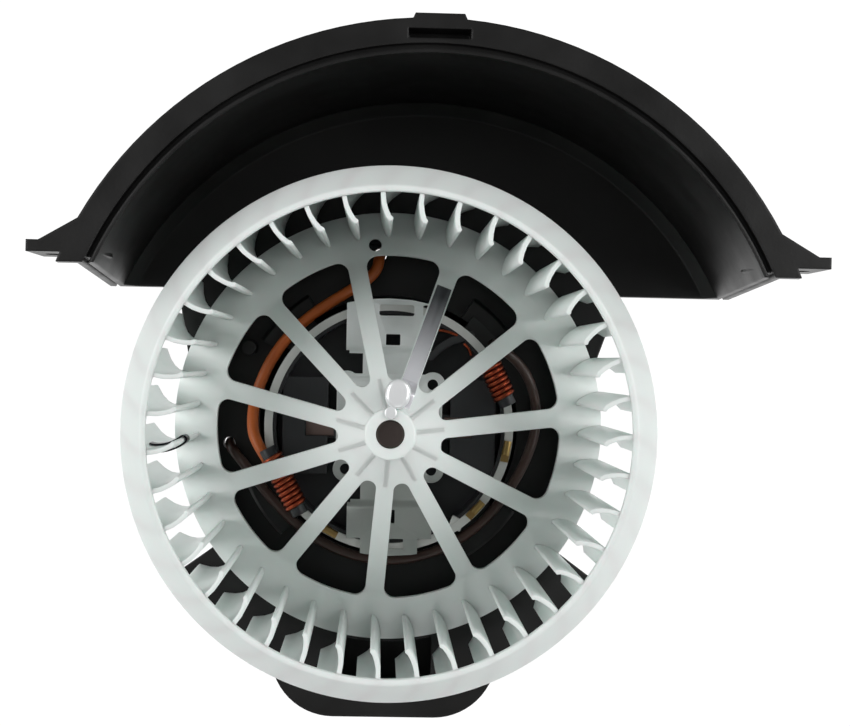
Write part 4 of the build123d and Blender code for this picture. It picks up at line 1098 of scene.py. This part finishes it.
@dataclass
class Leads(SubAssembly):
    """Two sleeved leads from the plug socket, round the motor and up to the chokes."""

    supply_radius: float = 0.00175
    return_radius: float = 0.00155
    first_pin: Pair = (-0.03460, 0.03869)
    second_pin: Pair = (-0.04209, 0.03037)
    supply_turns: tuple[Point, ...] = (
        (0.0525, 337.0, 0.0354), (0.0544, 356.0, 0.0364), (0.0544, 356.0, 0.0537), (0.0476, 354.0, 0.0554),
        (0.0434, 338.0, 0.0587), (0.0426, 319.0, 0.0589), (0.0426, 300.0, 0.0587), (0.0428, 282.0, 0.0596),
        (0.0424, 270.0, 0.0634), (0.0412, 262.6, 0.0664), (0.0385, 253.5, 0.0670))
    return_turns: tuple[Point, ...] = (
        (0.0406, 49.0, 0.0670), (0.0442, 58.0, 0.0638), (0.0468, 71.0, 0.0598), (0.0470, 87.0, 0.0578),
        (0.0446, 103.0, 0.0582), (0.0426, 119.0, 0.0585), (0.0424, 137.0, 0.0586), (0.0424, 157.0, 0.0582),
        (0.0426, 177.0, 0.0580), (0.0424, 197.0, 0.0582), (0.0424, 217.0, 0.0585), (0.0430, 236.0, 0.0585),
        (0.0460, 252.0, 0.0574), (0.0510, 262.5, 0.0539), (0.0510, 262.5, 0.0364), (0.0520, 279.0, 0.0354))
    pin_heights: Pair = (0.02105, 0.0339)

    def build(self, dresser: Dresser) -> None:
        """Builds both leads on the housing."""
        low, high = self.pin_heights
        supply = [(*self.first_pin, low), (*self.first_pin, high)]
        supply += [tuple(polar(*point)) for point in self.supply_turns]
        back = [tuple(polar(*point)) for point in self.return_turns]
        back += [(*self.second_pin, high), (*self.second_pin, low)]
        supply_sleeve = tube("supply_sleeve", supply, self.supply_radius)
        dresser.hand_over(supply_sleeve, ORANGE, Body.HOUSING, "supply_lead")
        return_sleeve = tube("return_sleeve", back, self.return_radius)
        dresser.hand_over(return_sleeve, BROWN, Body.HOUSING, "return_lead")


@dataclass
class Chokes(SubAssembly):
    """Two copper chokes wound on ferrite rods across the can's rim."""

    places: tuple[tuple[float, int], ...] = ((64.5, 8), (241.8, 11))
    place_radius: float = 0.0362
    height: float = 0.0678
    outer: float = 0.00365
    wire: float = 0.00074
    pitch: float = 0.00157
    core_radius: float = 0.0026
    core_over: float = 0.0027
    wire_sides: int = 12
    steps: int = 28
    core_steps: int = 40

    def coil(self, windings: int) -> bpy.types.Object:
        """Winds a coil about +Z along a screw line.

        Args:
            windings: Number of turns.

        Returns:
            The coil.
        """
        start = -self.pitch * windings / 2.0
        section = circle((self.outer - self.wire, start), self.wire, self.wire_sides)
        coil = draw("choke_coil", [(x, 0.0, z) for x, z in section])
        screw = coil.modifiers.new("winding", "SCREW")
        screw.axis = "Z"
        screw.angle = math.tau
        screw.screw_offset = self.pitch
        screw.iterations = windings
        screw.steps = self.steps
        screw.render_steps = self.steps
        apply_modifiers(coil)
        close_ends(coil)
        smooth(40.0)
        return coil

    def core(self, windings: int) -> bpy.types.Object:
        """Turns the ferrite rod of a coil.

        Args:
            windings: Number of turns that the coil has.

        Returns:
            The rod.
        """
        half, radius = self.pitch * windings / 2.0 + self.core_over, self.core_radius
        outline = [(0.0, -half), (radius, -half), (radius, half), (0.0, half)]
        piece = lathe("choke_core", outline, self.core_steps)
        soften(piece)
        return piece

    def build(self, dresser: Dresser) -> None:
        """Winds both chokes and lays them across the radius on the housing."""
        lay = Matrix.Rotation(math.radians(90.0), 4, "Y")
        coils, cores = [], []
        for turn, windings in self.places:
            place = turning(turn) @ Matrix.Translation((0.0, self.place_radius, self.height)) @ lay
            coil, core = self.coil(windings), self.core(windings)
            coils.append(placed(coil, place))
            cores.append(placed(core, place))
        dresser.hand_over(joined("choke_windings", coils), COPPER_WIRE, Body.HOUSING, "choke_coils")
        dresser.hand_over(joined("choke_rods", cores), FERRITE, Body.HOUSING, "choke_cores")


@dataclass(frozen=True)
class Slot:
    """Opening through the bearing plate, with its middle, its size along X and Y and its corners' radius."""

    name: str
    middle: Pair
    size: Pair
    rounding: float


@dataclass
class BearingPlate(SubAssembly):
    """Pressed bridge over the can: two wings rolled down to a centre plate with lugs and a bush cup."""

    wall: float = 0.0015
    front: float = 0.0655
    centre_top: float = 0.0635
    centre_half: float = 0.0154
    lug_radius: float = 0.0039
    hole_radius: float = 0.00165
    hole_at: float = 0.0133
    left: float = -0.0137
    right: float = 0.0125
    inner: float = 0.0247
    outer: float = 0.0397
    crown: float = 0.0016
    crown_half: float = 0.007
    crown_step: float = 0.0004
    roll: float = 0.0014
    roll_back: float = 0.0004
    shoulder: float = 0.0012
    step: float = 0.001
    sink: float = 0.0001
    over: float = 0.001
    slope_end: float = 0.0226
    arm_half: float = 0.0085
    tab_half: float = 0.0088
    tab_length: float = 0.0054
    cup_outer: float = 0.0085
    cup_top: float = 0.06985
    cup_bore: float = 0.0052
    cup_wall: float = 0.001
    cup_steps: int = 64
    hole_sides: int = 24
    lug_lead: float = 38.0
    upper_slots: tuple[Slot, ...] = (
        Slot("slot", (0.0017, 0.0361), (0.0108, 0.0034), 0.0006),
        Slot("open_slot", (0.0125, 0.0361), (0.0054, 0.0034), 0.0006),
        Slot("square", (0.0007, 0.0270), (0.0044, 0.0034), 0.0003),
    )
    lower_slots: tuple[Slot, ...] = (
        Slot("notch", (-0.0029, 0.0360), (0.0043, 0.0031), 0.0003),
        Slot("slit", (-0.0017, 0.0276), (0.0012, 0.0042), 0.0003),
    )
    tab_rounding: float = 0.0004
    quarters: tuple[tuple[int, int], ...] = ((1, 1), (-1, 1), (-1, -1), (1, -1))

    def tab_slots(self) -> tuple[Slot, Slot]:
        """Gives the two openings that leave the tab at the end of the lower wing."""
        size = ((self.right - self.left) - 2.0 * self.tab_half, 2.0 * self.tab_length)
        return (Slot("left_side", (self.left, self.outer), size, self.tab_rounding),
                Slot("right_side", (self.right, self.outer), size, self.tab_rounding))

    def cutter(self, slot: Slot) -> bpy.types.Object:
        """Makes the cutter of a slot.

        Args:
            slot: The opening.

        Returns:
            The cutter, taller than the plate.
        """
        x, y = slot.middle
        half_x, half_y = (side / 2.0 - slot.rounding for side in slot.size)
        outline: list[Pair] = []
        for number, (side_x, side_y) in enumerate(self.quarters):
            centre = (x + side_x * half_x, y + side_y * half_y)
            outline += arc(centre, slot.rounding, 90.0 * number, 90.0 * number + 90.0, 4)
        return prism(slot.name, outline, self.centre_top - 4.0 * self.over, self.front + self.over)

    def wing(self, slots: Sequence[Slot]) -> bpy.types.Object:
        """Makes one wing with its rolled edge, its slope and its arm, on the +Y side.

        Args:
            slots: Openings through the wing.

        Returns:
            The wing.
        """
        low_front, low_centre = self.front - self.wall, self.centre_top - self.wall
        arm_top = self.centre_top - self.sink
        root = self.centre_half - self.step
        bends = (self.roll, self.roll)
        top = rounded([(self.outer, self.front), (self.inner, self.front), (self.slope_end, arm_top),
                       (root, arm_top)], bends)
        under = rounded([(root, low_centre), (self.slope_end - self.roll_back, low_centre),
                         (self.inner - self.roll_back, low_front), (self.outer, low_front)], bends)
        piece = upright("plate_wing", [*top, *under], self.left, self.right)
        side = self.outer - self.crown
        shoulder = self.inner - self.shoulder
        middle = (self.left + self.right) / 2.0
        crown = self.outer - self.crown_step
        left, right = self.left + self.step, self.right - self.step
        plan = [(self.right, shoulder), (self.right, side), (middle + self.crown_half, crown),
                (middle, self.outer), (middle - self.crown_half, crown), (self.left, side),
                (self.left, shoulder), (left, shoulder), (left, self.slope_end),
                (-self.arm_half, self.slope_end), (-self.arm_half, 0.0), (self.arm_half, 0.0),
                (self.arm_half, self.slope_end), (right, self.slope_end), (right, shoulder)]
        cut(piece, prism("plate_plan", plan, low_centre - self.over, self.front + self.over), Keep.SHARED)
        for cutter in [self.cutter(slot) for slot in slots]:
            cut(piece, cutter)
        soften(piece)
        return piece

    def centre(self) -> bpy.types.Object:
        """Makes the centre plate with a lug round each of its four holes.

        Returns:
            The centre plate.
        """
        low, at = self.centre_top - self.wall, self.hole_at
        outline: list[Pair] = []
        for number, (side_x, side_y) in enumerate(self.quarters):
            start, end = 90.0 * number - self.lug_lead, 90.0 * number + 90.0 + self.lug_lead
            outline += arc((side_x * at, side_y * at), self.lug_radius, start, end, 14)
        piece = prism("plate_centre", outline, low, self.centre_top)
        for side_x in (1, -1):
            for side_y in (1, -1):
                hole = circle((side_x * at, side_y * at), self.hole_radius, self.hole_sides)
                cut(piece, prism("plate_hole", hole, low - self.over, self.centre_top + self.over))
        soften(piece)
        return piece

    def cup(self) -> bpy.types.Object:
        """Turns the cup that holds the front bush.

        Returns:
            The cup.
        """
        low, lid = self.centre_top - self.wall, self.cup_top - self.cup_wall
        inside = self.cup_outer - self.cup_wall
        foot, shoulder = (self.cup_outer, self.centre_top), (self.cup_outer, self.cup_top)
        mouth = (self.cup_bore, self.cup_top)
        cup = lathe("bush_cup", [
            (self.cup_outer, low),
            *corner(foot, shoulder, mouth, self.cup_wall, 4),
            mouth,
            (self.cup_bore, lid),
            (inside, lid),
            (inside, low),
        ], self.cup_steps)
        smooth(40.0)
        return cup

    def build(self, dresser: Dresser) -> None:
        """Builds the plate with its cup on the housing."""
        lower = placed(self.wing((*self.lower_slots, *self.tab_slots())), turning(180.0))
        cup = self.cup()
        plate = joined("bridge", [self.centre(), self.wing(self.upper_slots), lower, cup])
        # The plate's finish carries a painted shade that darkens its lower wing.
        dresser.hand_over(plate, SHADED_PRESSED, Body.HOUSING, "bearing_plate")


@dataclass
class SpokeClip(SubAssembly):
    """Bent spring strip on one spoke: a tab at the shaft, a polished loop on the hub and a flat tail. The tab
    and loop carry a painted highlight, and the tail carries a painted reflection that fades from white at the
    hub to dark along the spoke.
    """

    turn: float = 20.3
    width: float = 0.0046
    wall: float = 0.0005
    line: tuple[Pair, ...] = (
        (0.0085, 0.11235), (0.0128, 0.1126), (0.0155, 0.1018), (0.0212, 0.0953), (0.0460, 0.0705))
    bends: tuple[float, ...] = (0.0012, 0.002, 0.004)
    loop_turn: float = 9.5
    loop_reach: Pair = (0.0108, 0.0122)
    loop_heights: Pair = (0.1095, 0.1138)
    loop_width: float = 0.0070
    tab_reach: Pair = (0.0059, 0.0061)
    tab_heights: Pair = (0.1116, 0.1129)
    tab_width: float = 0.0034
    flank: float = 0.3
    strip_edge: float = 0.00015

    def tongue(self, name: str, reach: Pair, heights: Pair, width: float) -> bpy.types.Object:
        """Makes a flat tongue with round ends and well-rounded flanks, at turn 0.

        Args:
            name: Name of the tongue.
            reach: Radii at which its round ends have their centres.
            heights: Its lower and upper height.
            width: Its width.

        Returns:
            The tongue.
        """
        low, high = heights
        far_end = arc((0.0, reach[1]), width / 2.0, 0.0, 180.0, 16)
        near_end = arc((0.0, reach[0]), width / 2.0, 180.0, 360.0, 16)
        tongue = prism(name, [*far_end, *near_end], low, high)
        soften(tongue, self.flank * (high - low), 4)
        return tongue

    def build(self, dresser: Dresser) -> None:
        """Builds the clip on the rotor."""
        side = band(rounded(self.line, self.bends), self.wall)
        tail = upright("clip_tail", side, -self.width / 2.0, self.width / 2.0)
        soften(tail, self.strip_edge)
        tail = placed(tail, turning(self.turn))
        loop = self.tongue("clip_loop", self.loop_reach, self.loop_heights, self.loop_width)
        loop = placed(loop, turning(self.loop_turn))
        tab = placed(self.tongue("clip_tab", self.tab_reach, self.tab_heights, self.tab_width), turning(0.0))
        # The tail's finish is a painted reflection, white near the hub and dark along the spoke.
        dresser.hand_over(tail, STRIP_REFLECTION, Body.ROTOR, "spoke_clip")
        # The loop and tab carry a painted highlight.
        dresser.hand_over(joined("clip_loop", [loop, tab]), LOOP_HIGHLIGHT, Body.ROTOR)


@dataclass
class BrushGear(SubAssembly):
    """Brush boxes with open windows, the plastic arm, a plated terminal and bits of bare wire."""

    box_half: float = 0.0040
    box_low: float = 0.0529
    box_high: float = 0.0605
    box_near: float = 0.0145
    box_far: float = 0.0326
    wall: float = 0.0006
    window_near: float = 0.0172
    window_far: float = 0.0258
    arm_line: tuple[Pair, ...] = (
        (0.0122, 0.0216), (0.0150, 0.0246), (0.0188, 0.0270), (0.0253, 0.0290))
    arm_width: float = 0.0026
    arm_heights: Pair = (0.0612, 0.0638)
    arm_rounding: float = 0.0005
    wires: tuple[tuple[Point, ...], ...] = (
        ((0.0150, 0.0302, 0.0632), (0.0172, 0.0302, 0.0640), (0.0206, 0.0288, 0.0634)),
        ((0.0228, 0.0262, 0.0632), (0.0246, 0.0246, 0.0640), (0.0250, 0.0228, 0.0626)),
    )
    wire_radius: float = 0.00045
    terminal: tuple[Pair, ...] = (
        (0.0190, -0.0305), (0.0226, -0.0322), (0.0240, -0.0288), (0.0204, -0.0270))
    terminal_heights: Pair = (0.0610, 0.0634)
    box_edge: float = 0.00015
    over: float = 0.001

    @staticmethod
    def bar(half: float, heights: Pair, ends: Pair) -> bpy.types.Object:
        """Makes a plain bar along X.

        Args:
            half: Half of its width.
            heights: Its lower and upper height.
            ends: Where it starts and ends along X.

        Returns:
            The bar.
        """
        low, high = heights
        return upright("brush_box", [(-half, low), (half, low), (half, high), (-half, high)], *ends)

    def box(self) -> bpy.types.Object:
        """Makes the box of the brush on the +X side, with its bore and its window.

        Returns:
            The box.
        """
        inner, low, high = self.box_half - self.wall, self.box_low, self.box_high
        near, far = self.box_near, self.box_far
        window = (self.window_near, self.window_far)
        piece = self.bar(self.box_half, (low, high), (near, far))
        cut(piece, self.bar(inner, (low + self.wall, high - self.wall), (near - self.over, far + self.over)))
        cut(piece, self.bar(inner, (high - 2.0 * self.wall, high + self.over), window))
        soften(piece, self.box_edge)
        return piece

    def build(self, dresser: Dresser) -> None:
        """Builds the gear on the housing."""
        right = self.box()
        left = copied(right, "brush_box", turning(180.0))
        dresser.hand_over(joined("brush_boxes", [right, left]), BRUSH_BLACK, Body.HOUSING, "brush_holders")
        arm = prism("brush_arm", band(self.arm_line, self.arm_width), *self.arm_heights)
        soften(arm, self.arm_rounding, 3)
        dresser.hand_over(arm, BRUSH_BLACK, Body.HOUSING)
        wires = [tube("bare_wire", route, self.wire_radius) for route in self.wires]
        dresser.hand_over(joined("bare_wires", wires), COPPER_WIRE, Body.HOUSING)
        terminal = prism("plated_terminal", self.terminal, *self.terminal_heights)
        soften(terminal)
        dresser.hand_over(terminal, ZINC, Body.HOUSING)


# Studio


@dataclass(frozen=True)
class Lamp:
    """Square soft lamp that faces the middle of the object."""

    name: str
    place: Point
    size: float
    power: float
    aim: Point = (0.0, 0.02, 0.08)

    def hang(self) -> None:
        """Makes the lamp."""
        data = bpy.data.lights.new(self.name, "AREA")
        data.shape = "SQUARE"
        data.size = self.size
        data.energy = self.power
        lamp = bpy.data.objects.new(self.name, data)
        lamp.location = self.place
        way = Vector(self.aim) - Vector(self.place)
        lamp.rotation_euler = way.to_track_quat("-Z", "Y").to_euler()
        bpy.context.scene.collection.objects.link(lamp)


@dataclass
class Studio:
    """Pale floor, soft lamps and pale air."""

    floor_half: float = 3.0
    floor_gap: float = 0.0002
    floor_tone: float = 0.90
    floor_gloss: float = 0.9
    glow_strength: float = 1.1
    glow_share: float = 0.9
    sky: float = 0.16
    seen_sky: float = 1.0
    lamps: tuple[Lamp, ...] = (
        Lamp("left_box", (-1.0, 0.20, 0.80), 0.9, 11.3),
        Lamp("right_box", (1.0, 0.20, 0.80), 0.9, 11.3),
        Lamp("low_box", (0.1, -1.0, 0.8), 0.8, 1.9),
    )

    def floor_finish(self) -> bpy.types.Material:
        """Makes a finish that keeps shadows and glows to the camera and in reflections.

        Returns:
            The material.
        """
        shader = Shader("studio_floor")
        shader.set(Base_Color=(*[self.floor_tone] * 3, 1.0), Roughness=self.floor_gloss)
        nodes, links = shader.nodes, shader.links
        path = nodes.new("ShaderNodeLightPath")
        glow = nodes.new("ShaderNodeEmission")
        glow.inputs["Color"].default_value = WHITE
        glow.inputs["Strength"].default_value = self.glow_strength
        seen = nodes.new("ShaderNodeMath")
        seen.operation = "MAXIMUM"
        links.new(path.outputs["Is Camera Ray"], seen.inputs[0])
        links.new(path.outputs["Is Glossy Ray"], seen.inputs[1])
        share = nodes.new("ShaderNodeMath")
        share.operation = "MULTIPLY"
        share.inputs[1].default_value = self.glow_share
        links.new(seen.outputs[0], share.inputs[0])
        blend = nodes.new("ShaderNodeMixShader")
        links.new(share.outputs[0], blend.inputs[0])
        links.new(shader.surface.outputs[0], blend.inputs[1])
        links.new(glow.outputs[0], blend.inputs[2])
        output = next(node for node in nodes if node.type == "OUTPUT_MATERIAL")
        links.new(blend.outputs[0], output.inputs["Surface"])
        return shader.material

    def floor(self) -> None:
        """Makes the white floor, which keeps the object's shadow."""
        bpy.ops.object.select_all(action="DESELECT")
        bpy.ops.mesh.primitive_plane_add(size=2 * self.floor_half, location=(0.0, 0.0, -self.floor_gap))
        floor = bpy.context.object
        floor.name = "studio_floor"
        floor.data.materials.append(self.floor_finish())

    def air(self) -> None:
        """Makes the world: a weak sky that looks white to the camera."""
        world = bpy.data.worlds.new("studio_air")
        bpy.context.scene.world = world
        world.use_nodes = True
        nodes, links = world.node_tree.nodes, world.node_tree.links
        back = nodes["Background"]
        back.inputs["Color"].default_value = WHITE
        path = nodes.new("ShaderNodeLightPath")
        strength = nodes.new("ShaderNodeMapRange")
        strength.inputs["To Min"].default_value = self.sky
        strength.inputs["To Max"].default_value = self.seen_sky
        links.new(path.outputs["Is Camera Ray"], strength.inputs["Value"])
        links.new(strength.outputs["Result"], back.inputs["Strength"])

    def build(self) -> None:
        """Builds the floor, hangs the lamps and sets the world."""
        self.floor()
        for lamp in self.lamps:
            lamp.hang()
        self.air()
        bpy.context.scene.view_settings.view_transform = "Standard"


def main() -> None:
    """Builds the object and the studio round it."""
    logging.basicConfig(level=logging.INFO, format="%(name)s: %(message)s")
    ViewPoint().place()
    dresser = Dresser()
    dresser.dress_solids()
    for group in (FanWheel(), Leads(), Chokes(), BearingPlate(), SpokeClip(), BrushGear()):
        group.build(dresser)
    Studio().build()


if __name__ == "__main__":
    main()
